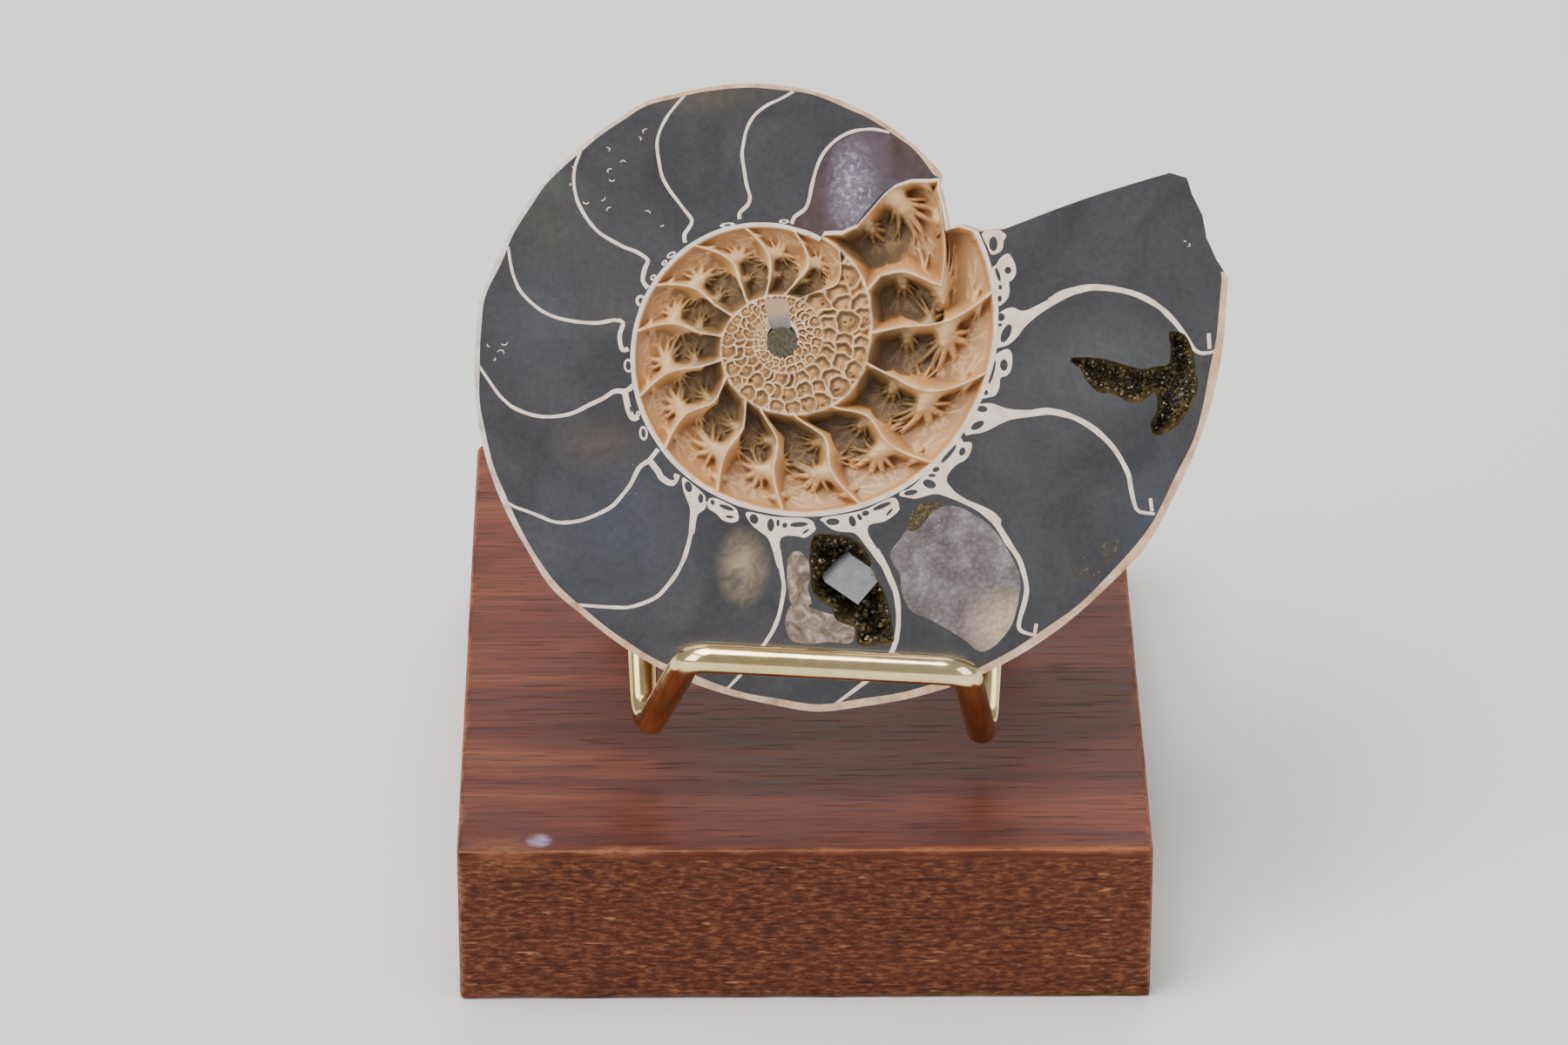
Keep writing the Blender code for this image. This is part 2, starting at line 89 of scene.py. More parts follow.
# Broken edge round the mouth, as (turn, radius)
NOTCH_TURN = 315.0
MOUTH_TURN = 333.5
BROKEN_EDGE = (
    (316.5, 25.4), (322.0, 24.2), (327.0, 23.2), (328.2, 24.7), (332.0, 26.2), (334.2, 28.7),
    (335.6, 38.5), (337.2, 48.6), (338.7, 50.2), (341.0, 50.1), (344.0, 50.5), (347.0, 50.3),
    (350.0, 50.9), (352.6, 51.9),
)
# Edge of the open chambers where the last filled septum leaves the wall, as (turn, radius)
OPEN_EDGE = (
    (292.0, 12.75), (299.7, 13.7), (304.0, 15.3), (304.9, 17.3), (305.7, 20.0), (306.9, 21.6),
    (309.6, 23.2), (313.2, 24.5), (315.0, 25.5),
)

# Open chambers: the turn of each septum at the inner wall, near the root of its lower fan, near the
# root of its upper fan and at the outer wall
SEPTUM_PLACES = (0.0, 0.25, 0.6, 1.0)
SEPTA = (
    (357, 355, 354.5, 348), (377, 379.5, 380, 370), (414, 403, 405, 400), (441, 427.5, 430, 425),
    (467, 453.5, 454, 450), (480, 474, 476.5, 473), (505, 497.5, 502, 497), (520, 521, 523.5, 518),
    (542, 544, 548, 543), (564, 566.5, 570, 563), (585, 592.5, 597, 587), (609, 619, 621, 612),
    (634, 645, 650, 637), (656, 668, 676, 664),
)
BROKEN_SEPTUM = (
    (0.0, 331.0), (0.14, 328.0), (0.26, 330.0), (0.35, 332.0), (0.44, 336.0), (0.53, 340.0),
    (0.6, 342.0), (0.66, 337.0), (0.72, 332.0), (0.8, 325.0), (0.87, 320.0), (1.0, 315.6),
)


def wall_radius(turn):
    """Radius of the spiral wall in mm, read smoothly between the eighths."""
    turn = np.asarray(turn, dtype=float)
    logs = np.log(np.array(WALL_EIGHTHS))
    place = np.clip(turn / EIGHTH + 1.0, 0.0, len(logs) - 1.001)
    index = place.astype(int)
    share = place - index
    before = logs[np.maximum(index - 1, 0)]
    here = logs[index]
    there = logs[np.minimum(index + 1, len(logs) - 1)]
    after = logs[np.minimum(index + 2, len(logs) - 1)]
    smooth = here + 0.5 * share * (
        there - before + share * (2 * before - 5 * here + 4 * there - after
                                  + share * (3 * (here - there) + after - before)))
    return np.exp(smooth)


def on_face(u, v, depth):
    """Points in metres for mm on the cut face and mm of depth behind it; arrays may be mixed."""
    u, v, depth = np.broadcast_arrays(
        np.asarray(u, float), np.asarray(v, float), np.asarray(depth, float))
    step = u[..., None] * FACE_RIGHT + v[..., None] * FACE_UP + depth[..., None] * FACE_BACK
    return FACE_CENTRE + step * MM


def on_coil(turn, radius, depth):
    """The same for turns in degrees, clockwise from the right, and radii in mm."""
    angle = np.radians(turn)
    return on_face(radius * np.cos(angle), -radius * np.sin(angle), depth)


def outline_radius(turn):
    """Radius in mm of the fossil's edge, with its swellings and its broken mouth."""
    turn = np.asarray(turn, dtype=float)
    swelling = np.zeros_like(turn)
    for peak in SWELLINGS:
        swelling = swelling + np.exp(-((turn - peak) / SWELLING_HALF_WIDTH) ** 2)
    whole = wall_radius(turn) + SWELLING_HEIGHT * swelling
    places = [NOTCH_TURN] + [place for place, _ in BROKEN_EDGE] + [FULL_TURN]
    radii = [float(wall_radius(NOTCH_TURN))] + [radius for _, radius in BROKEN_EDGE]
    radii.append(WALL_EIGHTHS[1])
    return np.where(turn > NOTCH_TURN, np.interp(turn, places, radii), whole)


def flank_depth(turn, radius):
    """Depth in mm of the shell's outer side; inner whorls show in the umbilicus."""
    turn, radius = np.broadcast_arrays(np.asarray(turn, float), np.asarray(radius, float))
    turn = turn.copy()
    for _ in range(3):
        hidden = (radius / wall_radius(turn) < SEAM) & (turn < DEEPEST_TURN)
        turn[hidden] += FULL_TURN
    outer = wall_radius(turn)
    share = np.clip(radius / outer, 0.0, 1.0)
    low = 1.0 - SEAM_DROP * ((SHOULDER - np.maximum(share, SEAM)) / (SHOULDER - SEAM)) ** 2
    high = np.sqrt(np.maximum(0.0, 1.0 - ((share - SHOULDER) / (1.0 - SHOULDER)) ** 2))
    return HALF_BREADTH * outer * np.where(share < SHOULDER, low, high), share


# Mesh helpers

def signed_volume(points, faces):
    """Volume of a closed shape of triangles, quads and flat ends, below zero when inside out."""
    corners = points[np.array([(face[0], face[1], face[2]) for face in faces])]
    volume = np.einsum("ij,ij->i", corners[:, 0], np.cross(corners[:, 1], corners[:, 2])).sum()
    quads = [face for face in faces if len(face) > 3]
    if quads:
        corners = points[np.array([(face[0], face[2], face[3]) for face in quads])]
        volume += np.einsum("ij,ij->i", corners[:, 0], np.cross(corners[:, 1], corners[:, 2])).sum()
    return volume / 6.0


def turned_out(points, faces):
    """Points as an array, with the faces of the closed shape turned to face outwards."""
    points = np.asarray(points, dtype=float).reshape(-1, 3)
    if signed_volume(points - points.mean(axis=0), faces) < 0:
        faces = [tuple(reversed(face)) for face in faces]
    return points, faces


def add_piece(name, points, faces, materials, finish=None, smooth=0.0, marks=None):
    """A mesh piece; smooth is the angle in degrees past which an edge stays sharp, or 0 for flat."""
    mesh = bpy.data.meshes.new(name)
    mesh.from_pydata(points.tolist(), [], faces)
    for material in materials:
        mesh.materials.append(material)
    if finish is not None:
        mesh.polygons.foreach_set("material_index", np.asarray(finish, dtype=np.int32))
    for mark, values in (marks or {}).items():
        layer = mesh.attributes.new(mark, "FLOAT", "POINT")
        layer.data.foreach_set("value", np.asarray(values, dtype=np.float32).ravel())
    mesh.update()
    if smooth:
        mesh.shade_smooth()
        mesh.set_sharp_from_angle(angle=math.radians(smooth))
    piece = bpy.data.objects.new(name, mesh)
    bpy.context.scene.collection.objects.link(piece)
    return piece


def clean_normals(piece, merge=False):
    """Turns all faces outwards, after merging points that share a place where asked."""
    form = bmesh.new()
    form.from_mesh(piece.data)
    if merge:
        bmesh.ops.remove_doubles(form, verts=form.verts, dist=1e-6)
    bmesh.ops.recalc_face_normals(form, faces=form.faces)
    form.to_mesh(piece.data)
    form.free()


def grid_faces(rows, columns, start=0, flip=False):
    """Quads of a grid whose points are numbered row by row from start."""
    index = start + np.arange(rows * columns).reshape(rows, columns)
    quads = np.stack([index[:-1, :-1], index[1:, :-1], index[1:, 1:], index[:-1, 1:]], axis=-1)
    quads = quads.reshape(-1, 4)
    if flip:
        quads = quads[:, ::-1]
    return [tuple(quad) for quad in quads.tolist()]


def smooth_line(points, step, closed=False):
    """A smooth curve through the points, read every step mm."""
    points = [np.array(point, dtype=float) for point in points]
    count = len(points)
    line = []
    for index in range(count if closed else count - 1):
        if closed:
            a, b, c, d = (points[(index + shift) % count] for shift in (-1, 0, 1, 2))
        else:
            a, b = points[max(index - 1, 0)], points[index]
            c, d = points[index + 1], points[min(index + 2, count - 1)]
        pieces = max(2, int(np.linalg.norm(c - b) / step))
        for part in range(pieces):
            s = part / pieces
            line.append(b + 0.5 * s * (c - a + s * (2 * a - 5 * b + 4 * c - d
                                                    + s * (3 * (b - c) + d - a))))
    if not closed:
        line.append(points[-1])
    return np.array(line)


class Collector:
    """Gathers many small closed shapes into one mesh."""

    def __init__(self):
        self.points = []
        self.faces = []
        self.finish = []
        self.count = 0

    def add(self, points, faces, finish=0):
        points, faces = turned_out(points, faces)
        self.points.append(points)
        self.faces.extend(tuple(corner + self.count for corner in face) for face in faces)
        self.finish.extend([finish] * len(faces))
        self.count += len(points)

    def make(self, name, materials, smooth=60.0):
        return add_piece(name, np.concatenate(self.points), self.faces, materials, self.finish, smooth)


# Materials

class Finish:
    """A material and short calls for the nodes that the finishes share."""

    def __init__(self, name, roughness=0.5, metallic=0.0, coat=0.0, coat_roughness=0.1, ior=1.5):
        self.material = bpy.data.materials.new(name)
        self.material.use_nodes = True
        self.tree = self.material.node_tree
        self.shader = self.tree.nodes["Principled BSDF"]
        self.set("Roughness", roughness)
        self.set("Metallic", metallic)
        self.set("Coat Weight", coat)
        self.set("Coat Roughness", coat_roughness)
        self.set("IOR", ior)
        self.object_place = self.tree.nodes.new("ShaderNodeTexCoord").outputs["Object"]

    def set(self, socket, value):
        self.shader.inputs[socket].default_value = value

    def feed(self, socket, source):
        self.tree.links.new(source, self.shader.inputs[socket])

    def node(self, kind, inputs=None, **settings):
        made = self.tree.nodes.new("ShaderNode" + kind)
        for key, value in settings.items():
            setattr(made, key, value)
        for key, value in (inputs or {}).items():
            if isinstance(value, bpy.types.NodeSocket):
                self.tree.links.new(value, made.inputs[key])
            else:
                made.inputs[key].default_value = value
        return made

    def mark(self, name):
        return self.node("Attribute", attribute_name=name).outputs["Fac"]

    def face_place(self):
        """The place on the cut face in mm, as (u, v, height in front of it)."""
        mapped = self.node("Mapping", {
            "Vector": self.object_place,
            "Location": tuple(FACE_CENTRE),
            "Rotation": (math.pi / 2 - LEAN_BACK, 0.0, 0.0),
            "Scale": (MM, MM, MM),
        }, vector_type="TEXTURE")
        return mapped.outputs["Vector"]

    def stretched(self, place, scale, turn=0.0):
        mapped = self.node("Mapping", {"Vector": place, "Scale": scale, "Rotation": (0.0, 0.0, turn)})
        return mapped.outputs["Vector"]

    def noise(self, place, scale, detail=4.0, rough=0.55, warp=0.0):
        made = self.node("TexNoise", {
            "Vector": place, "Scale": scale, "Detail": detail, "Roughness": rough,
            "Distortion": warp})
        return made.outputs["Fac"]

    def cells(self, place, scale):
        return self.node("TexVoronoi", {"Vector": place, "Scale": scale}).outputs["Distance"]

    def ramp(self, source, *stops):
        """Stops are (place, colour), where a colour is a grey value or three values."""
        made = self.node("ValToRGB", {"Fac": source})
        bar = made.color_ramp
        while len(bar.elements) < len(stops):
            bar.elements.new(0.5)
        for element, (place, colour) in zip(bar.elements, stops):
            element.position = place
            shade = (colour,) * 3 if isinstance(colour, (int, float)) else tuple(colour)
            element.color = (*shade, 1.0)
        return made.outputs["Color"]

    def value(self, operation, first, second=0.0, clamp=False):
        made = self.node("Math", {0: first, 1: second}, operation=operation, use_clamp=clamp)
        return made.outputs[0]

    def blend(self, share, first, second, mode="MIX"):
        """Mixes two colours; either may be three values or a socket."""
        inputs = {0: share}
        for key, colour in ((6, first), (7, second)):
            is_socket = isinstance(colour, bpy.types.NodeSocket)
            inputs[key] = colour if is_socket else (*colour, 1.0)
        made = self.node("Mix", inputs, data_type="RGBA", blend_type=mode)
        return made.outputs[2]

    def near(self, place, centre, radii, soft=1.0):
        """1 at the centre of an oval on the cut face, falling to 0 at its edge."""
        moved = self.node("VectorMath", {0: place, 1: (*centre, 0.0)}, operation="SUBTRACT")
        scaled = self.node("VectorMath", {
            0: moved.outputs[0], 1: (1.0 / radii[0], 1.0 / radii[1], 0.0)}, operation="MULTIPLY")
        length = self.node("VectorMath", {0: scaled.outputs[0]}, operation="LENGTH").outputs["Value"]
        return self.value("MULTIPLY", self.value("SUBTRACT", 1.0, length), 1.0 / soft, True)

    def bump(self, height, distance, strength=1.0):
        made = self.node("Bump", {"Height": height, "Distance": distance, "Strength": strength})
        self.feed("Normal", made.outputs["Normal"])


def tone(red, green, blue):
    """Linear colour from the eight-bit values of a screen colour."""
    def linear(value):
        value /= 255.0
        return value / 12.92 if value <= 0.04045 else ((value + 0.055) / 1.055) ** 2.4
    return tuple(linear(value) for value in (red, green, blue))


def infill_finish():
    """Polished blue-grey filling of the outer whorl, clouded and flecked."""
    stone = Finish("polished_infill", roughness=0.16, coat=0.5, coat_roughness=0.05)
    face = stone.face_place()
    broad = stone.noise(face, 0.09, 5.0, 0.6, 0.6)
    body = stone.ramp(broad, (0.3, tone(50, 50, 52)), (0.5, tone(58, 58, 61)), (0.72, tone(68, 68, 70)))
    fine = stone.noise(face, 1.3, 6.0, 0.7)
    body = stone.blend(0.35, body, stone.ramp(fine, (0.3, 0.25), (0.7, 0.75)), "OVERLAY")
    for centre, radii, soft, colour, weight in INFILL_CLOUDS:
        cloud = stone.near(face, centre, radii, soft)
        ragged = stone.value("MULTIPLY", cloud, stone.ramp(
            stone.noise(face, 0.55, 5.0, 0.65, 1.0), (0.3, 0.25), (0.62, 1.0)))
        body = stone.blend(stone.value("MULTIPLY", ragged, weight), body, tone(*colour))
    flecks = stone.cells(face, 0.55)
    sharp = stone.ramp(flecks, (0.0, 1.0), (0.055, 0.0))
    few = stone.ramp(stone.noise(face, 0.16, 3.0), (0.52, 0.0), (0.66, 0.75))
    body = stone.blend(stone.value("MULTIPLY", sharp, few), body, tone(172, 160, 146))
    stone.feed("Base Color", body)
    stone.bump(stone.noise(face, 2.5, 5.0), 0.02 * MM, 0.25)
    return stone.material


INFILL_CLOUDS = (
    ((-4.6, -26.4), (3.4, 5.0), 0.8, (156, 138, 110), 0.85),
    ((-21.1, -12.4), (6.5, 4.0), 1.0, (104, 86, 74), 0.5),
    ((-27.5, 14.0), (6.0, 7.5), 1.0, (82, 82, 68), 0.5),
    ((-9.0, 27.8), (9.0, 2.4), 0.9, (90, 80, 60), 0.6),
    ((-14.5, 19.4), (1.4, 4.0), 0.8, (48, 40, 46), 0.8),
    ((37.3, -3.6), (11.0, 7.0), 1.0, (82, 84, 84), 0.7),
    ((43.0, -23.0), (5.0, 12.0), 1.0, (60, 70, 88), 0.5),
    ((-20.0, 3.0), (5.5, 3.5), 1.0, (84, 78, 70), 0.4),
    ((-19.0, -22.0), (12.0, 12.0), 1.0, (72, 78, 92), 0.5),
    ((-28.0, 2.0), (7.0, 10.0), 1.0, (72, 76, 80), 0.5),
    ((25.5, -9.0), (3.6, 8.5), 1.0, (78, 72, 68), 0.4),
    ((22.0, 15.5), (6.0, 5.0), 1.0, (62, 56, 66), 0.4),
)


def cream_finish():
    """Pale aragonite of the septa and of the cut shell."""
    cream = Finish("cream_septa", roughness=0.35, coat=0.25)
    face = cream.face_place()
    cloudy = cream.noise(face, 0.5, 4.0)
    body = cream.ramp(
        cloudy, (0.3, tone(205, 182, 164)), (0.55, tone(222, 206, 194)), (0.8, tone(232, 222, 214)))
    cream.feed("Base Color", body)
    cream.bump(cream.noise(face, 4.0, 4.0), 0.03 * MM, 0.4)
    return cream.material


def rim_finish():
    """Tan outer shell, seen cut along the edge."""
    rim = Finish("cut_shell_edge", roughness=0.5)
    face = rim.face_place()
    cloudy = rim.noise(face, 0.35, 5.0, 0.65)
    body = rim.ramp(
        cloudy, (0.3, tone(150, 118, 92)), (0.5, tone(192, 158, 130)), (0.7, tone(214, 188, 164)))
    left = rim.near(face, (-34.0, 6.0), (24.0, 40.0), 0.5)
    body = rim.blend(left, body, rim.ramp(cloudy, (0.3, tone(170, 154, 142)), (0.6, tone(220, 212, 206))))
    rim.feed("Base Color", body)
    rim.bump(rim.noise(face, 2.2, 5.0), 0.12 * MM, 0.6)
    return rim.material


def shell_finish():
    """Outer side of the shell: brown and cream nacre with growth lines along the ribs."""
    shell = Finish("outer_shell", roughness=0.34, coat=0.35, coat_roughness=0.2)
    face = shell.face_place()
    rib = shell.mark("rib")
    mottled = shell.noise(face, 0.13, 6.0, 0.62, 0.8)
    body = shell.ramp(
        mottled, (0.28, tone(112, 84, 62)), (0.48, tone(160, 128, 98)), (0.7, tone(198, 174, 146)))
    pale = shell.ramp(rib, (0.35, 0.0), (0.95, 0.55))
    body = shell.blend(pale, body, tone(214, 196, 172))
    patches = shell.ramp(shell.noise(face, 0.06, 4.0, 0.5, 1.5), (0.55, 0.0), (0.68, 0.7))
    body = shell.blend(patches, body, tone(92, 82, 74))
    shell.feed("Base Color", body)
    shell.feed("Roughness", shell.ramp(mottled, (0.3, 0.45), (0.7, 0.26)))
    grain = shell.value("ADD", shell.noise(face, 1.8, 6.0, 0.65), shell.value("MULTIPLY", rib, 0.4))
    shell.bump(grain, 0.12 * MM, 0.5)
    return shell.material


def chamber_finish():
    """Walls of the open chambers: cream crests and fingers and tan floors, with painted shade darkening the
    deeper parts and greying the round hollows.
    """
    wall = Finish("open_chamber_walls", roughness=0.45)
    face = wall.face_place()
    deep, ridge, hollow = (wall.mark(name) for name in ("deep", "ridge", "hollow"))
    grain = wall.noise(face, 1.1, 5.0, 0.6)
    place = wall.value("ADD", deep, wall.value("MULTIPLY", wall.value("SUBTRACT", grain, 0.5), 0.16))
    # Cream on the crests and tan on the floors are their own colours; the darkening towards the deepest
    # parts is painted shade in the recesses.
    body = wall.ramp(
        place, (0.0, tone(220, 192, 160)), (0.035, tone(200, 160, 116)), (0.15, tone(180, 134, 84)),
        (0.45, tone(146, 106, 62)), (0.75, tone(112, 80, 46)), (1.0, tone(84, 62, 38)))
    orange = wall.ramp(wall.noise(face, 0.3, 3.0), (0.4, 0.0), (0.65, 0.8))
    body = wall.blend(wall.value("MULTIPLY", orange, 0.6), body, tone(186, 134, 80))
    # Painted shade: the round hollows and the heart's cells are greyed and darkened where the hollow mark
    # is set.
    shade = wall.ramp(grain, (0.3, tone(70, 58, 42)), (0.7, tone(104, 86, 62)))
    body = wall.blend(wall.value("MULTIPLY", hollow, 0.7), body, shade)
    # Painted shade: fingers inside a hollow take a darker, shaded copy of the finger colour.
    finger = wall.blend(hollow, tone(200, 160, 112), tone(152, 122, 84))
    body = wall.blend(wall.value("MULTIPLY", ridge, 0.85), body, finger)
    wall.feed("Base Color", body)
    wall.bump(wall.noise(face, 5.0, 4.0), 0.05 * MM, 0.35)
    return wall.material


def plug_finish():
    """Dark olive grey stone in the middle of the heart."""
    plug = Finish("heart_plug", roughness=0.4)
    face = plug.face_place()
    speck = plug.noise(face, 2.4, 6.0, 0.7)
    plug.feed("Base Color", plug.ramp(
        speck, (0.34, tone(34, 34, 24)), (0.5, tone(66, 62, 46)), (0.66, tone(96, 88, 68))))
    plug.bump(speck, 0.1 * MM, 0.5)
    return plug.material


def chalcedony_finish():
    """Lilac chalcedony, white clouded in the middle and brown at its edge."""
    lilac = Finish("chalcedony", roughness=0.14, coat=0.5, coat_roughness=0.05)
    face = lilac.face_place()
    cloudy = lilac.noise(face, 0.33, 6.0, 0.6, 0.6)
    body = lilac.ramp(cloudy, (0.3, tone(58, 44, 42)), (0.55, tone(74, 60, 60)), (0.75, tone(86, 76, 82)))
    edge = lilac.near(face, (8.8, 17.4), (5.6, 8.6), 0.6)
    mauve = lilac.ramp(cloudy, (0.3, tone(72, 62, 70)), (0.7, tone(94, 84, 96)))
    body = lilac.blend(edge, body, mauve)
    middle = lilac.near(face, (8.2, 17.2), (3.2, 6.6), 0.8)
    milky = lilac.ramp(cloudy, (0.3, tone(84, 76, 86)), (0.7, tone(122, 116, 130)))
    body = lilac.blend(middle, body, milky)
    wisps = lilac.value("MULTIPLY", middle, lilac.ramp(
        lilac.noise(face, 1.5, 6.0, 0.7, 0.2), (0.5, 0.0), (0.66, 0.8)))
    body = lilac.blend(wisps, body, tone(188, 184, 194))
    lilac.feed("Base Color", body)
    return lilac.material


def calcite_finish():
    """Milky grey granular calcite."""
    milky = Finish("milky_calcite", roughness=0.35)
    face = milky.face_place()
    cloudy = milky.noise(face, 0.3, 5.0, 0.6, 0.3)
    body = milky.ramp(cloudy, (0.3, tone(80, 72, 72)), (0.5, tone(104, 96, 98)), (0.7, tone(134, 128, 132)))
    crust = milky.near(face, (26.0, -33.4), (6.0, 5.0), 0.7)
    body = milky.blend(crust, body, tone(168, 152, 132))
    grains = milky.cells(face, 1.7)
    body = milky.blend(0.5, body, milky.ramp(grains, (0.15, 0.62), (0.75, 0.34)), "OVERLAY")
    sparks = milky.ramp(milky.noise(face, 3.2, 3.0, 0.7), (0.6, 0.0), (0.7, 0.5))
    body = milky.blend(sparks, body, tone(190, 186, 190))
    milky.feed("Base Color", body)
    milky.bump(grains, 0.16 * MM, 0.6)
    return milky.material


def druse_finish():
    """Dark olive crust of very small crystals."""
    dark = Finish("olive_druse", roughness=0.3, coat=0.4)
    face = dark.face_place()
    grains = dark.noise(face, 1.6, 6.0, 0.7)
    body = dark.ramp(grains, (0.3, tone(30, 27, 14)), (0.5, tone(62, 54, 30)), (0.72, tone(120, 104, 62)))
    dark.feed("Base Color", body)
    dark.bump(dark.cells(face, 3.0), 0.12 * MM, 0.8)
    return dark.material


def crystal_finish(name, colour, roughness, transmission=0.0):
    """Cloudy crystal of one colour, see-through by the given share."""
    clear = Finish(name, roughness=roughness, ior=1.56)
    face = clear.face_place()
    cloudy = clear.noise(face, 0.8, 4.0)
    dull = tuple(channel * 0.7 for channel in colour)
    clear.feed("Base Color", clear.ramp(cloudy, (0.3, dull), (0.7, colour)))
    clear.set("Transmission Weight", transmission)
    return clear.material


def brass_finish():
    """Polished pale brass with faint drawing lines and a little tarnish."""
    brass = Finish("brass_wire", roughness=0.2, metallic=1.0)
    place = brass.object_place
    cloud = brass.noise(place, 160.0, 4.0, 0.6)
    brass.feed("Base Color", brass.ramp(
        cloud, (0.3, tone(222, 190, 126)), (0.55, tone(240, 216, 160)), (0.8, tone(246, 230, 186))))
    brass.feed("Roughness", brass.ramp(brass.noise(place, 420.0, 4.0), (0.3, 0.1), (0.7, 0.22)))
    brass.bump(brass.noise(place, 900.0, 3.0), 0.01 * MM, 0.3)
    return brass.material


# A painted lilac highlight on the top of the block, near its front edge
LILAC_HIGHLIGHT = Vector((-30.6 * MM, BLOCK_LOW.y + 2.4 * MM, BLOCK_HIGH.z))
LILAC_HIGHLIGHT_RADIUS = 1.7 * MM


def mahogany_finish():
    """Reddish mahogany, its grain along X, with short dark pores, pale worn edges and a painted lilac
    highlight near its front edge.
    """
    wood = Finish("mahogany", roughness=0.5)
    wood.set("Specular IOR Level", 0.14)
    place = wood.object_place
    height = wood.node("SeparateXYZ", {0: place}).outputs["Z"]
    side = wood.value("MULTIPLY", wood.value("SUBTRACT", BLOCK_HIGH.z - 0.8 * MM, height), 1.2 / MM, True)
    bands = wood.noise(wood.stretched(place, (10.0, 120.0, 120.0)), 1.0, 5.0, 0.6, 0.8)
    body = wood.ramp(bands, (0.28, tone(64, 28, 18)), (0.5, tone(88, 44, 29)), (0.74, tone(110, 62, 42)))
    fibres = wood.noise(wood.stretched(place, (90.0, 1700.0, 1700.0)), 1.0, 5.0, 0.65)
    body = wood.blend(0.7, body, wood.ramp(fibres, (0.32, 0.15), (0.68, 0.85)), "OVERLAY")
    dashes = wood.noise(wood.stretched(place, (620.0, 2300.0, 2300.0)), 1.0, 4.0, 0.7)
    rough = wood.ramp(dashes, (0.36, tone(52, 27, 18)), (0.5, tone(86, 48, 32)), (0.66, tone(140, 88, 58)))
    body = wood.blend(wood.value("MULTIPLY", side, 0.75), body, rough)
    streaks = wood.noise(wood.stretched(place, (260.0, 1500.0, 1500.0), 0.02), 1.0, 2.0)
    pale = wood.ramp(streaks, (0.66, 0.0), (0.72, 0.6))
    body = wood.blend(wood.value("MULTIPLY", side, pale), body, tone(176, 126, 92))
    pores = wood.noise(wood.stretched(place, (110.0, 2100.0, 2100.0)), 1.0, 2.0, 0.5)
    pits = wood.ramp(pores, (0.3, 1.0), (0.4, 0.0))
    body = wood.blend(wood.value("MULTIPLY", pits, 0.7), body, tone(40, 18, 12))
    worn = wood.value("MULTIPLY", wood.mark("worn"), wood.ramp(dashes, (0.35, 0.2), (0.6, 0.8)))
    body = wood.blend(worn, body, tone(164, 104, 72))
    # Painted highlight: a small lilac spot on the top of the block near its front edge
    highlight_distance = wood.node("VectorMath", {0: place, 1: LILAC_HIGHLIGHT}, operation="DISTANCE").outputs["Value"]
    highlight_share = wood.value("MULTIPLY", wood.value("SUBTRACT", LILAC_HIGHLIGHT_RADIUS, highlight_distance), 0.9 / MM, True)
    highlight_share = wood.value("MULTIPLY", highlight_share, wood.ramp(dashes, (0.35, 0.1), (0.6, 0.8)))
    body = wood.blend(highlight_share, body, tone(158, 138, 168))
    wood.feed("Base Color", body)
    wood.feed("Roughness", wood.ramp(fibres, (0.3, 0.48), (0.7, 0.62)))
    wood.bump(wood.value("SUBTRACT", fibres, wood.value("MULTIPLY", pits, 1.2)), 0.1 * MM, 0.5)
    return wood.material


def floor_finish():
    """Matt pale grey of the studio floor."""
    floor = Finish("studio_floor", roughness=0.8)
    soft = floor.noise(floor.object_place, 6.0, 2.0)
    floor.feed("Base Color", floor.ramp(soft, (0.3, 0.62), (0.7, 0.66)))
    return floor.material


def pale_finish():
    """Cloudy tan and white crystal, cut flush."""
    pale = Finish("pale_crystal", roughness=0.3, coat=0.3)
    face = pale.face_place()
    cloudy = pale.noise(face, 0.7, 6.0, 0.65, 0.6)
    pale.feed("Base Color", pale.ramp(
        cloudy, (0.3, tone(66, 58, 48)), (0.46, tone(106, 94, 80)), (0.58, tone(142, 128, 116)),
        (0.72, tone(186, 176, 168))))
    pale.bump(pale.cells(face, 1.6), 0.12 * MM, 0.5)
    return pale.material


def heart_patch_finish():
    """Flush filling beside the plug, pinkish above and bluish white below."""
    patch = Finish("heart_patch", roughness=0.3, coat=0.3)
    face = patch.face_place()
    up = patch.node("SeparateXYZ", {0: face}).outputs["Y"]
    share = patch.value("MULTIPLY", patch.value("SUBTRACT", up, 0.9), 0.29, True)
    cloud = patch.value("ADD", share, patch.value("MULTIPLY", patch.value(
        "SUBTRACT", patch.noise(face, 1.4, 4.0), 0.5), 0.5))
    patch.feed("Base Color", patch.ramp(
        cloud, (0.1, tone(104, 100, 100)), (0.4, tone(134, 118, 114)), (0.65, tone(168, 136, 110))))
    return patch.material


FINISHES = {
    "infill": infill_finish, "cream": cream_finish, "rim": rim_finish, "shell": shell_finish,
    "chamber": chamber_finish, "plug": plug_finish, "heart_patch": heart_patch_finish,
    "chalcedony": chalcedony_finish, "calcite": calcite_finish, "pale": pale_finish,
    "druse": druse_finish, "brass": brass_finish, "mahogany": mahogany_finish, "floor": floor_finish,
    "clear": lambda: crystal_finish("grey_calcite", tone(150, 152, 154), 0.12, 0.25),
    "white": lambda: crystal_finish("white_crystal", tone(196, 188, 174), 0.2),
    "olive": lambda: crystal_finish("olive_crystal", tone(54, 48, 30), 0.22),
    "amber": lambda: crystal_finish("amber_crystal", tone(112, 96, 60), 0.15),
}
MADE_FINISHES = {}


def finish(name):
    """The material of that name, made when it's first asked for."""
    if name not in MADE_FINISHES:
        MADE_FINISHES[name] = FINISHES[name]()
    return MADE_FINISHES[name]


def hand_over(piece, slot, *nodes):
    """Puts a finished piece on the root body and hides the nodes that it stands for; slot is not used."""
    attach(piece, "root")
    if nodes:
        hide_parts(*nodes)


# What the saw cut through, as places on the cut face

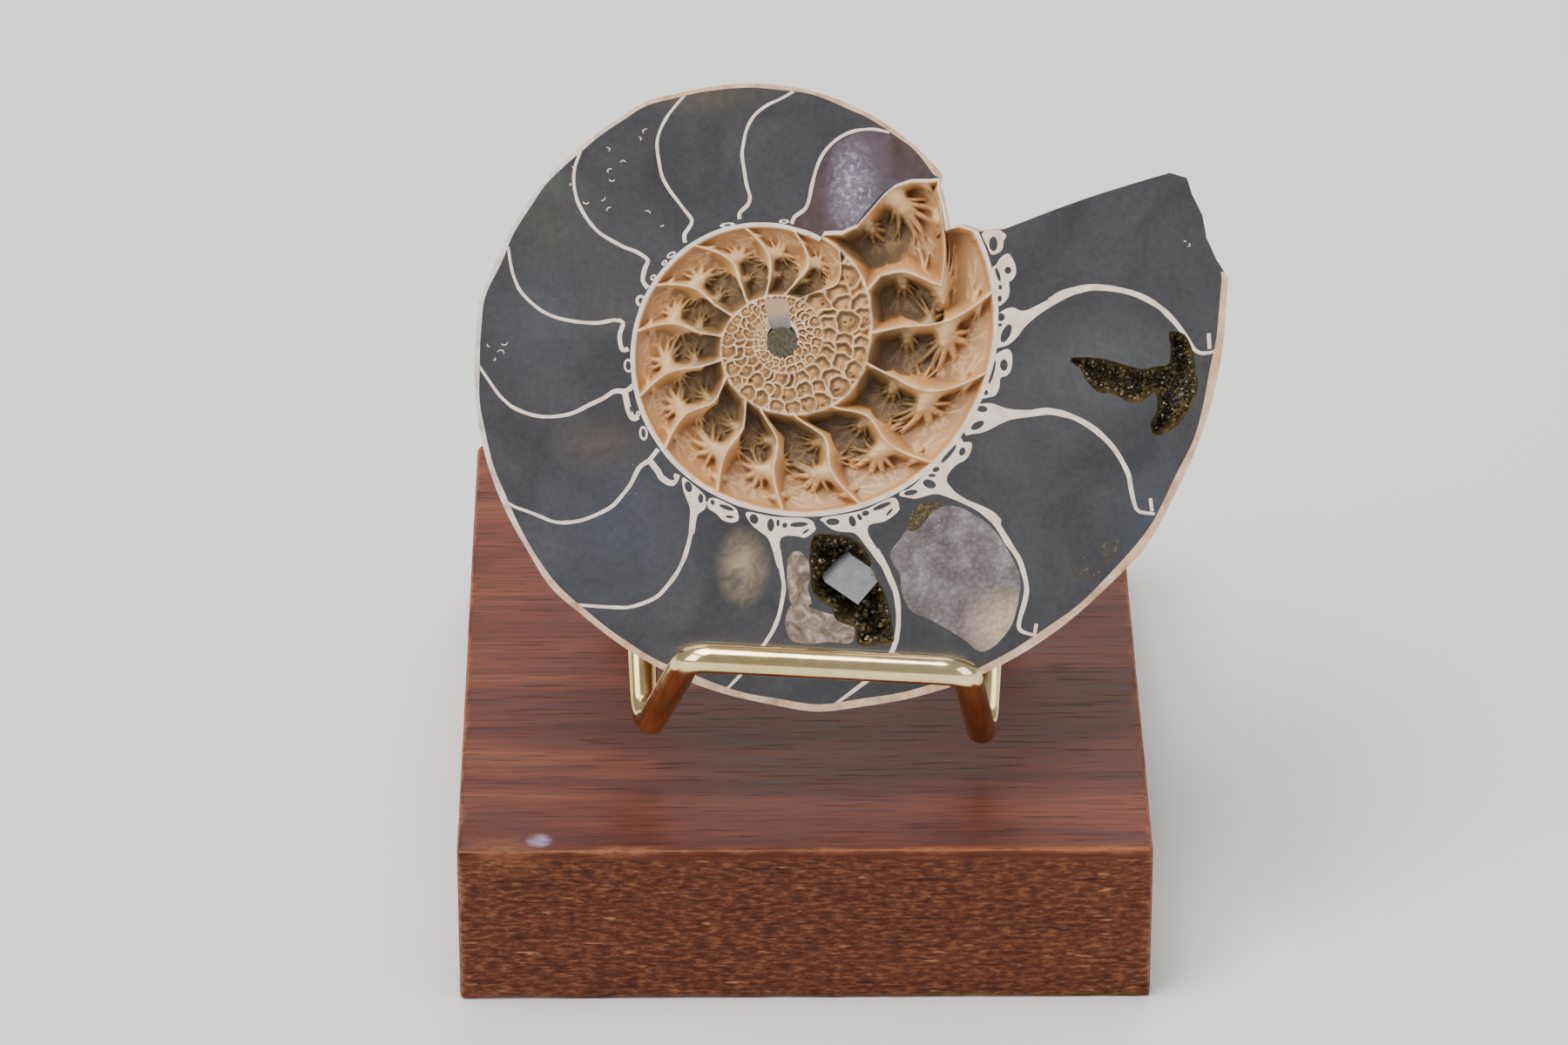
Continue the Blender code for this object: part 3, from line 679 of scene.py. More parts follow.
SEPTUM_CURVES = (
    ((31, 4), (32.7, 5), (35.2, 5.6), (37.2, 5.6), (39.2, 5.3), (41.2, 4.7), (43.2, 3.6), (44.6, 2.4),
     (45.9, 0.9), (46.9, -0.6), (47.6, -1.6), (48.6, -2), (50.3, -1.7)),
    ((29, -8.8), (30.6, -8.6), (33, -9.1), (35.1, -10.1), (36.8, -11.4), (38.2, -12.9), (39.2, -14.5),
     (39.9, -16), (40.2, -17.7), (40.6, -19.4), (41.1, -20.2), (42.9, -20.5)),
    ((24, -20.5), (24.7, -21.6), (26.1, -23.9), (27.2, -25.6), (27.8, -27.4), (28.1, -29.1),
     (27.8, -30.8), (27.3, -32.5), (27.2, -33.6), (27.8, -34.1), (29.3, -34.5)),
    ((10.6, -24.6), (11.7, -26.3), (12.3, -27.7), (12.9, -29.1), (13.2, -30.5), (13.3, -32.2),
     (13.2, -33.9), (12.8, -35.6), (11.7, -37.7), (9.6, -39.6), (5.8, -42.4)),
    ((-0.5, -24.5), (-0.3, -25.7), (-0.1, -27.2), (0.1, -28.7), (-0.1, -30.3), (-0.5, -32.1),
     (-1.1, -33.6), (-1.9, -34.9), (-3.9, -37.7), (-6.7, -40.7)),
    ((-10.4, -21.4), (-10.6, -22.6), (-11, -24.2), (-11.5, -25.7), (-12.3, -27.2), (-13.2, -28.4),
     (-14.4, -29.7), (-16, -30.5), (-17.8, -31), (-19.3, -31), (-21.2, -30.9), (-23.7, -30.7)),
    ((-15.1, -14), (-16.3, -14.7), (-16.9, -15.6), (-17.5, -16.8), (-18.4, -18), (-19.6, -19.3),
     (-21.2, -20.2), (-23, -20.9), (-24.8, -21.2), (-26.4, -21.1), (-27.9, -20.5), (-29.4, -19.9),
     (-31, -19.3), (-32.5, -18.3)),
    ((-17.4, -5.7), (-18.1, -6.1), (-19.3, -6.1), (-20.6, -6.9), (-22.1, -7.6), (-23.9, -8.5),
     (-25.5, -8.9), (-27.3, -9), (-29.1, -8.7), (-31, -7.9), (-32.2, -6.9), (-33.1, -5.8), (-35, -3)),
    ((-17.7, -1.2), (-18.4, -1.3), (-18.7, 0.3), (-18.3, 1.8), (-19.3, 2.1), (-21.2, 1.8),
     (-23.3, 1.9), (-25.5, 2.3), (-27.3, 3), (-28.8, 4.1), (-30.1, 5.5), (-30.8, 7), (-31.2, 8.5),
     (-31.5, 10.6)),
    ((-15.4, 5.8), (-16, 6.7), (-15.7, 8.2), (-15.4, 9), (-16.6, 9.9), (-18.1, 10.5), (-19.6, 11.3),
     (-21, 12.2), (-22.1, 13.4), (-23, 14.8), (-23.6, 16.2), (-23.9, 18), (-23.8, 19.6),
     (-23.3, 21.1), (-22.8, 22.4)),
    ((-11.1, 11), (-11.2, 11.9), (-10.6, 12.8), (-10.3, 13.6), (-11.1, 14.7), (-12, 15.9),
     (-12.9, 17.1), (-13.7, 18.6), (-14.1, 20.5), (-14.3, 22.3), (-14, 23.8), (-13.2, 25.4),
     (-12.3, 26.6), (-11, 28.1)),
    ((-4.8, 13.7), (-4.8, 14.4), (-3.9, 15.3), (-3.6, 16.2), (-4, 17.7), (-4.3, 19.6), (-4.5, 21.1),
     (-4.3, 22.6), (-3.9, 24.2), (-3, 25.7), (-1.6, 26.8), (-0.1, 27.5), (1.5, 28.4)),
    ((1.2, 13.1), (1.5, 13.9), (2.7, 14.8), (3.2, 15.9), (3.5, 17.4), (4.1, 19.6), (4.8, 21.1),
     (5.8, 22.3), (7, 23.2), (8.5, 23.8), (10.6, 24), (12.5, 23.6)),
)
SEPTUM_ROOT_WIDTHS = (0.95, 0.8, 0.85, 0.9, 0.5, 0.45, 0.55, 0.6, 0.55, 0.55, 0.45, 0.45, 0.45)
SEPTUM_MIDDLE_WIDTHS = (0.66, 0.62, 0.58, 0.58, 0.46, 0.46, 0.42, 0.42, 0.4, 0.4, 0.38, 0.38, 0.4)
SEPTUM_TIP_WIDTH = 0.3
SEPTUM_STEP = 0.35
# Short branches of the septa and the stubs at the outer wall: width, then places
BRANCHES = (
    (0.7, (-15.3, -14.1), (-14.3, -15.4), (-13.9, -16.1), (-12.7, -16.7), (-12.1, -15.7)),
    (0.5, (-15.3, -14.0), (-14.3, -12.8)),
    (0.7, (-18.1, -6.3), (-17.7, -8.2), (-17.2, -9.2), (-16.6, -9)),
    (0.55, (-17.6, -5.8), (-17.0, -5.3)),
    (0.45, (49.2, 0.3), (49.3, -1.5)),
    (0.4, (42.4, -18.7), (42.6, -20.2)),
    (0.4, (29.2, -33.1), (29.0, -34.2)),
)
# Feet of the septa on the middle wall
FEET = (
    ((23.24, 12.03), (23.72, 12.45), (24.57, 12.63), (25.42, 12.15), (25.91, 11.66), (25.6, 11.06),
     (25.54, 10.33), (25.18, 9.78), (24.21, 9.48), (23.72, 10.45), (23.12, 11.66)),
    ((24.75, 8.33), (25.06, 8.88), (25.54, 9.36), (26.15, 9.6), (26.63, 9), (27, 8.03), (26.94, 7.06),
     (26.51, 6.51), (26.21, 6.33), (26.27, 5.6), (26.15, 4.63), (25.54, 3.85), (24.88, 3.54),
     (24.57, 4.39), (24.57, 6.09), (24.21, 7.78)),
    ((24.51, 2.63), (24.94, 2.69), (25.91, 3.24), (26.75, 3.36), (27.36, 3.06), (28.09, 3),
     (29.18, 3.48), (31, 4.39), (32.82, 5.25), (35.3, 5.9), (35.3, 5.3), (33.42, 4.7), (31.6, 3.78),
     (29.78, 2.63), (28.57, 1.66), (27.85, 0.94), (27.12, -0.03), (26.15, -0.88), (24.94, -1.25),
     (24.51, -1.06)),
    ((24.69, -2.03), (25.42, -1.55), (26.15, -1.43), (26.51, -2.03), (26.54, -2.88), (26.39, -3.78),
     (25.97, -4.44), (25.18, -4.75), (25.06, -5.72), (24.63, -6.68), (23.78, -6.99), (22.57, -7.11),
     (22.82, -6.2), (23.54, -4.38), (24.39, -2.44)),
    ((21.97, -8.02), (23.06, -7.72), (24.03, -7.65), (24.88, -7.9), (25.85, -8.26), (27.42, -8.44),
     (29.3, -8.44), (30.6, -8.3), (30.6, -8.9), (29.3, -9.15), (26.82, -9.47), (25.6, -9.84),
     (24.39, -10.44), (23.18, -10.99), (21.97, -11.17), (21, -11.11)),
    ((20.03, -11.9), (20.88, -12.14), (21.72, -12.14), (21.85, -12.62), (21.6, -13.47),
     (21.12, -14.14), (20.15, -14.68), (19.54, -15.23), (19.06, -15.9), (18.94, -16.62),
     (19.42, -17.35), (20.15, -18.08), (21.36, -18.81), (23.06, -19.53), (24.39, -20.26),
     (25.2, -21.2), (24.6, -21.8), (22.57, -20.14), (20.75, -19.17), (19.3, -18.56), (17.72, -18.08),
     (16.51, -18.32), (15.3, -18.62), (14.21, -18.44), (13.52, -18.27), (13.63, -17.81),
     (15.35, -16.89)),
    ((12.66, -18.5), (13.46, -19.64), (13.06, -20.33), (11.8, -21.19), (10.19, -21.54),
     (9.84, -21.94), (9.84, -22.63), (10.42, -23.66), (11.3, -25.1), (10.9, -25.6), (9.73, -24.24),
     (8.35, -22.63), (6.74, -22.4), (5.6, -22.05), (4.68, -21.25), (4.56, -20.79), (9.04, -19.99)),
    ((-4.12, -20.09), (-3.65, -21.43), (-2.58, -22.37), (-1.77, -23.04), (-1.24, -24.24),
     (-0.6, -26.5), (-0.1, -26.5), (-0.3, -24.65), (-0.3, -23.31), (0.37, -22.84), (1.71, -22.9),
     (2.65, -23.04), (3.72, -22.24), (3.72, -21.83), (2.92, -20.9), (-0.97, -20.63)),
    ((-8.6, -18.62), (-8.6, -19.56), (-7.66, -20.23), (-6.86, -21.03), (-5.79, -21.3),
     (-5.12, -21.03), (-5.12, -20.36), (-5.52, -19.56), (-7.66, -18.49)),
    ((-11.48, -16.07), (-11.48, -17.28), (-11.08, -18.49), (-10.68, -19.56), (-10.68, -20.63),
     (-10.8, -22.6), (-10.3, -22.6), (-10.14, -22.24), (-9.94, -20.9), (-9.67, -20.23),
     (-8.87, -19.56), (-8.94, -18.22), (-10.34, -16.88)),
)
# Openings in those feet: centre, half width, half height, tilt
FOOT_HOLES = (
    (24.42, 10.72, 0.5, 0.85, 0), (26.09, 7.66, 0.4, 0.42, 0), (24.94, 7.18, 0.22, 0.85, 17),
    (25.2, 5.72, 0.22, 0.28, 0), (25.12, 4.39, 0.26, 0.38, 0), (25.24, 2.27, 0.48, 0.48, 0),
    (25.18, 1.36, 0.24, 0.2, 0), (25.85, 0.39, 0.5, 1.15, -25), (25.58, -3.27, 0.46, 0.68, 0),
    (24.23, -4.08, 0.24, 1.4, -15), (23.48, -6.42, 0.28, 0.32, 0), (23.06, -8.32, 0.62, 0.38, -5),
    (22.51, -10.2, 0.85, 0.42, 30), (20.73, -13.21, 0.35, 0.5, -20), (19.18, -13.47, 0.3, 1.35, -40),
    (17.72, -15.27, 0.44, 0.3, 20), (17.24, -15.96, 0.45, 0.2, 0), (16.94, -16.93, 0.8, 0.5, -20),
    (14.78, -17.92, 0.8, 0.32, 10), (11.45, -19.47, 1.15, 0.28, 22), (9.56, -20.28, 0.44, 0.32, 10),
    (8.87, -20.73, 0.24, 0.44, 30), (8.03, -21.19, 0.4, 0.66, 20), (5.77, -21.25, 0.8, 0.42, 0),
    (12.31, -20.16, 0.55, 0.16, 48), (-3.31, -20.9, 0.5, 0.6, 25), (-1.37, -21.59, 0.42, 0.76, 0),
    (-0.54, -21.36, 0.2, 0.42, 0), (0.24, -21.63, 0.3, 0.3, 0), (1.87, -21.54, 1.05, 0.3, 3),
    (2.67, -22.34, 0.5, 0.15, 35), (-8.07, -18.95, 0.24, 0.32, 20), (-6.46, -19.56, 0.9, 0.26, -20),
    (-6.12, -20.63, 0.5, 0.16, -5), (-10.85, -17.15, 0.42, 0.66, 18), (-9.43, -18.49, 0.3, 0.56, 0),
    (-8.71, -18.62, 0.18, 0.28, 0), (-12.9, -16.1, 0.5, 0.24, -20), (-17.45, -8.2, 0.12, 0.4, 12),
)
# Small closed loops on the wall: centre, half sizes, half sizes of the hole, tilt
LOOPS = (
    (-17.7, -3.15, 0.55, 0.8, 0.32, 0.55, 5), (-16.8, 1.83, 0.3, 0.45, 0.12, 0.25, 10),
    (-16.2, 4.3, 0.65, 0.7, 0.3, 0.4, 20), (-16, -10.95, 0.5, 0.85, 0.26, 0.55, 5),
    (-12.7, 9.6, 0.6, 0.3, 0.3, 0.14, 30), (-6.2, 13, 0.9, 0.3, 0.4, 0.12, 5),
    (0.3, 13.4, 0.6, 0.25, 0.25, 0.1, 0), (-16.6, -8.7, 0.25, 0.35, 0.08, 0.14, 0),
    (-13.5, 8.7, 0.4, 0.25, 0.15, 0.1, 45), (-14.8, 7, 0.4, 0.3, 0.16, 0.12, 50),
)
CHALCEDONY = (
    (1.5, 13.3), (2.9, 14.5), (3.5, 15.8), (3.8, 17.4), (4.4, 19.4), (5.1, 20.8), (6, 22), (7.2, 22.9),
    (8.7, 23.5), (10.6, 23.7), (12.5, 23.4), (14.8, 22.8), (16.6, 21.8), (18.2, 20.4), (18.4, 18.9),
    (16.7, 18.2), (14.8, 18.2), (13, 17.6), (11.5, 16.5), (9.7, 14.5), (8.4, 12.9), (6.7, 12.1),
    (4.8, 12.1), (2.8, 12.5),
)
MILKY_CALCITE = (
    (12.4, -24.8), (13.5, -23.3), (14.5, -22), (15.5, -21), (16.8, -20.4), (18.6, -19.5),
    (20.3, -19.6), (22.1, -20.5), (23.7, -21.6), (25.3, -23.5), (26.5, -25.7), (27.3, -27.6),
    (27.3, -29.4), (26.9, -31.5), (26.2, -33.5), (24.4, -35.6), (22.7, -36.3), (21.1, -35.1),
    (19.1, -33.8), (16.8, -32.5), (14.7, -31.5), (13.7, -29.4), (13.5, -27.4), (12.7, -26.1),
)
CALCITE_CRACK = ((14.5, -22.3), (14.9, -20.2), (16.3, -19.1), (18.6, -19.3), (17.1, -20.4), (15.8, -22))
PALE_CRYSTALS = (
    (0.5, -31.5), (1.5, -30.6), (3.3, -31.2), (5.1, -31.8), (6.9, -32.2), (8.1, -32.8), (8.2, -34.6),
    (7.5, -35.3), (5.3, -35.1), (3.3, -35.3), (1.1, -35), (0.3, -33.4),
)
TAN_RIM = (
    (0.7, -25.2), (1.9, -24.6), (2.9, -25.7), (3.1, -27.4), (2.9, -29.2), (3.3, -30.6), (1.9, -31.2),
    (0.9, -30.6), (0.5, -28),
)
SPECKS = (
    (-25.7, 22.3), (-22.9, 22.8), (-21.1, 23.8), (-15.5, 23.8), (-16.4, 23), (-19.7, 19.3),
    (-19.5, 18.4), (-18.2, 20.2), (-24.2, 17.8), (-22.5, 15.8), (-20.7, 16.2), (-20, 21.8),
    (-24.2, 19.8), (-19.7, 14.8), (-13.8, 13.1), (-33.7, -0.7), (-32, -0.4), (-32.4, -1.6),
    (-33.2, -2.3), (-15.5, 14.4), (46.9, 10.5), (46.6, 11.1),
)
CRACKS = (
    (0.25, (33.6, -27.9), (34.9, -26.9), (35.6, -26.7)), (0.2, (37.0, -26.2), (38.2, -24.9), (38.6, -23.6)),
    (0.18, (37.2, -25.4), (37.0, -24.2), (37.8, -23.3)), (0.15, (35.0, -28.0), (36.6, -27.1)),
)
LOWER_VUG = (
    (3.6, -22.9), (5.2, -22.7), (7.4, -22.9), (8.4, -23.4), (9.2, -24.0), (10.0, -25.3), (10.6, -27.0),
    (11.6, -29.2), (12.2, -31.0), (12.6, -33.2), (12.7, -35.2), (10.6, -35.5), (8.6, -35.4),
    (8.3, -33.6), (6.2, -32.6), (5.6, -31.2), (4.2, -30.2), (3.4, -29.2), (3.2, -27.4), (3.1, -25.0),
)
LOWER_VUG_DEPTH = 4.6
RIGHT_VUG = (
    (33.0, -2.6), (35.2, -2.4), (37.5, -2.7), (39.6, -3.3), (41.6, -3.8), (43.0, -3.5), (44.5, -3.2),
    (44.8, -1.4), (44.6, 0.4), (45.4, 0.5), (46.4, 0.2), (47.2, -1.2), (47.7, -3.6), (47.9, -6.1),
    (46.8, -8.8), (45.4, -10.4), (43.9, -11.3), (42.7, -11.3), (42.5, -10.0), (43.2, -8.4),
    (43.0, -6.6), (41.4, -7.5), (39.8, -7.5), (38.0, -6.6), (36.4, -6.4), (35.0, -5.0), (34.4, -3.8),
)
RIGHT_VUG_DEPTH = 2.9
VUGS = ((LOWER_VUG, LOWER_VUG_DEPTH), (RIGHT_VUG, RIGHT_VUG_DEPTH))
VUG_SPACING = 0.3
VUG_STEEPNESS = 3.2


# Shell and filling

COLUMN_STEP = 0.9
# Close columns along the broken edge: first turn, last turn, count
MOUTH_COLUMNS = ((316.5, 333.4, 24), (334.2, 352.6, 22))
# Rings of the back, as shares of the radius, closer at the rim and in the umbilicus
BACK_RINGS = np.concatenate([
    np.linspace(1.0, 0.9, 9)[1:], np.linspace(0.9, 0.2, 36)[1:], np.linspace(0.2, 0.14, 12)[1:],
    np.linspace(0.14, 0.1, 6)[1:], np.linspace(0.1, 0.066, 10)[1:], np.linspace(0.066, 0.02, 6)[1:]])
RIB_COUNT = 48
RIB_HEIGHT = 0.22
RIB_SWEEP = 26.0
# Widths in mm of the bands along the notch, the inner wall and the outer edge
NOTCH_RIM = 0.55
WALL_WIDTH = 0.45
RIM_WIDTH = 0.85
CHALCEDONY_SNAP = 0.75
# The recess behind the open chambers: its depth as a share of the shell's, at its rings and its hub
RECESS_SHARE = 0.86
HUB_SHARE = 0.55
RECESS_RINGS = (1.0, 0.97, 0.93) + tuple(0.89 - 0.04 * step for step in range(21))
FLUSH = 0.01
LEAST_KEPT = 0.3
# Width of the tan edge at each turn, as a share of RIM_WIDTH
RIM_SHARES = (
    (0.0, 1.0), (60.0, 1.05), (110.0, 0.9), (150.0, 0.75), (200.0, 0.6), (260.0, 0.55), (305.0, 0.6),
    (317.0, 0.8), (333.0, 0.5), (335.0, 0.08), (351.0, 0.08), (353.0, 1.0))
MOUTH_EDGE = (335.0, 351.0)


def opening_radius(turn):
    """Radius of the edge of the open chambers in the polished face."""
    wall = wall_radius(turn + FULL_TURN) - WALL_WIDTH
    cut = np.interp(turn, *zip(*OPEN_EDGE))
    outline = outline_radius(turn) - NOTCH_RIM
    opening = np.where(turn < OPEN_EDGE[0][0], wall, cut)
    opening = np.where(turn > MOUTH_TURN, wall_radius(turn) - WALL_WIDTH, opening)
    notch = np.minimum(outline, wall_radius(turn) - WALL_WIDTH)
    opening = np.where((turn > NOTCH_TURN) & (turn <= MOUTH_TURN), notch, opening)
    return np.minimum(opening, outline)


class Plate:
    """The polished face: its columns, and the radii of the rings that bound its parts."""

    def __init__(self):
        turns = list(np.arange(0.0, NOTCH_TURN, COLUMN_STEP)) + [NOTCH_TURN]
        for pairs in (OPEN_EDGE, BROKEN_EDGE):
            turns += [place for place, _ in pairs]
        for start, end, count in MOUTH_COLUMNS:
            turns += list(np.linspace(start, end, count))
        self.turns = np.array(sorted(set(round(float(turn), 3) for turn in turns)))
        self.own = np.where(self.turns > MOUTH_TURN, self.turns - FULL_TURN, self.turns)
        self.edge = outline_radius(self.turns)
        self.opening = opening_radius(self.turns)
        room = self.edge - self.opening
        waver = np.array([noise.noise(Vector((turn * 0.11, 0.0, 0.0))) for turn in self.turns])
        fade = np.interp(self.turns, *zip(*RIM_SHARES))
        self.rim = self.edge - np.minimum(RIM_WIDTH * (1.0 + 0.45 * waver) * fade, 0.46 * room)
        self.wall = self.opening + np.minimum(WALL_WIDTH * (1.0 + 0.15 * waver), 0.5 * room)

    def keep(self, places, snap=0.0):
        """Moves places that would leave the filling, or come near its inner edge, to its edge."""
        places = np.asarray(places, dtype=float)
        turn = np.degrees(np.arctan2(-places[:, 1], places[:, 0])) % FULL_TURN
        low = np.interp(turn, self.turns, self.wall, period=FULL_TURN) + FLUSH
        high = np.interp(turn, self.turns, self.rim, period=FULL_TURN) - FLUSH
        radius = np.clip(np.hypot(places[:, 0], places[:, 1]), low, high)
        radius = np.where(radius < low + snap, low, radius)
        angle = np.radians(turn)
        return np.stack([radius * np.cos(angle), -radius * np.sin(angle)], axis=1)


def ribbon(line, widths):
    """Outline of a band of the given widths along a line."""
    run = np.gradient(line, axis=0)
    run /= np.linalg.norm(run, axis=1)[:, None]
    side = np.stack([-run[:, 1], run[:, 0]], axis=1) * (np.asarray(widths) / 2)[:, None]
    return np.concatenate([line + side, (line - side)[::-1]])


def oval(u, v, half_width, half_height, tilt, count=14):
    """Outline of an oval on the cut face, tilted by degrees."""
    angle = np.linspace(0.0, math.tau, count, endpoint=False)
    across = half_width * np.cos(angle)
    up = half_height * np.sin(angle)
    lean = math.radians(tilt)
    return np.stack([u + across * math.cos(lean) - up * math.sin(lean),
                     v + across * math.sin(lean) + up * math.cos(lean)], axis=1)


def enclosed_area(outline):
    """Area inside an outline, above zero where it runs anticlockwise."""
    u, v = np.asarray(outline).T
    return 0.5 * float(np.sum(u * np.roll(v, -1) - np.roll(u, -1) * v))


def rounded(outline, step=0.3):
    """A closed smooth curve through the places of an outline."""
    return smooth_line(outline, step, closed=True)


def section_inlays():
    """Areas of the section in the order they're laid, as (finish, outline)."""
    chance = random.Random(3)
    laid = [("chalcedony", rounded(CHALCEDONY)), ("calcite", rounded(MILKY_CALCITE, 0.5)),
            ("druse", rounded(CALCITE_CRACK, 0.4)), ("pale", rounded(PALE_CRYSTALS, 0.5)),
            ("pale", rounded(TAN_RIM, 0.5))]
    for curve, root, middle in zip(SEPTUM_CURVES, SEPTUM_ROOT_WIDTHS, SEPTUM_MIDDLE_WIDTHS):
        line = smooth_line(curve, SEPTUM_STEP)
        share = np.linspace(0.0, 1.0, len(line))
        widths = np.interp(share, (0.0, 0.3, 0.75, 1.0), (
            root, middle, middle * 0.9, SEPTUM_TIP_WIDTH))
        waver = [noise.noise(Vector((u, v, 5.0))) for u, v in line * 0.7]
        laid.append(("cream", ribbon(line, widths * (1.0 + 0.22 * np.array(waver)))))
    for width, *places in BRANCHES:
        line = smooth_line(places, 0.2)
        laid.append(("cream", ribbon(line, np.full(len(line), width))))
    for foot in FEET:
        laid.append(("cream", rounded(foot, 0.25)))
    for u, v, wide, high, hole_wide, hole_high, tilt in LOOPS:
        laid.append(("cream", oval(u, v, wide, high, tilt)))
        laid.append(("infill", oval(u, v, hole_wide, hole_high, tilt)))
    for u, v, wide, high, tilt in FOOT_HOLES:
        laid.append(("infill", oval(u, v, wide, high, tilt)))
    for u, v in SPECKS:
        angle, size = chance.uniform(0, 6.28), chance.uniform(0.14, 0.42)
        arc = [(u + size * math.cos(angle + turn), v + size * 0.8 * math.sin(angle + turn))
               for turn in np.linspace(0.0, chance.uniform(1.2, 3.4), 7)]
        laid.append(("cream", ribbon(np.array(arc), (0.05, 0.09, 0.12, 0.14, 0.12, 0.09, 0.05))))
    for width, *places in CRACKS:
        line = smooth_line(places, 0.3)
        laid.append(("druse", ribbon(line, np.full(len(line), width))))
    return laid


def edge_distance(places, outline):
    """Distance from each place to a closed outline, below zero outside it."""
    places = np.asarray(places, dtype=float)
    outline = np.asarray(outline, dtype=float)
    nearest = np.full(len(places), 1e9)
    inside = np.zeros(len(places), dtype=bool)
    for start, end in zip(outline, np.roll(outline, -1, axis=0)):
        run = end - start
        share = np.clip(((places - start) @ run) / (run @ run), 0.0, 1.0)
        nearest = np.minimum(nearest, np.linalg.norm(places - start - share[:, None] * run, axis=1))
        if start[1] != end[1]:
            crosses = (start[1] > places[:, 1]) != (end[1] > places[:, 1])
            at = start[0] + (places[:, 1] - start[1]) / (end[1] - start[1]) * run[0]
            inside ^= crosses & (places[:, 0] < at)
    return np.where(inside, nearest, -nearest)


def vug_depth(places):
    """Depth of the crystal-lined hollows at each place of the face."""
    depth = np.zeros(len(places))
    for outline, deepest in VUGS:
        inward = np.maximum(0.0, edge_distance(places, rounded(outline)) - 0.005)
        rough = np.array([noise.fractal(Vector((u * 0.9, v * 0.9, 2.0)), 0.8, 2.0, 4) for u, v in places])
        pit = deepest * np.tanh(inward * VUG_STEEPNESS / deepest) * (1.0 - 0.12 * rough)
        depth = np.maximum(depth, np.where(inward > 0.0, np.minimum(pit + 0.18 * rough * np.minimum(
            1.0, inward), deepest), 0.0))
    return np.maximum(depth, 0.0)


def vug_places(outline):
    """Places strewn over a hollow, which carry its rough wall."""
    chance = random.Random(8)
    low, high = np.min(outline, axis=0), np.max(outline, axis=0)
    places = []
    for u in np.arange(low[0], high[0], VUG_SPACING):
        for v in np.arange(low[1], high[1], VUG_SPACING):
            places.append((u + chance.uniform(-0.1, 0.1), v + chance.uniform(-0.1, 0.1)))
    places = np.array(places)
    return places[edge_distance(places, rounded(outline)) > 0.12]


SHELL_FINISHES = ("infill", "shell", "rim", "cream", "chalcedony", "calcite", "druse", "pale")


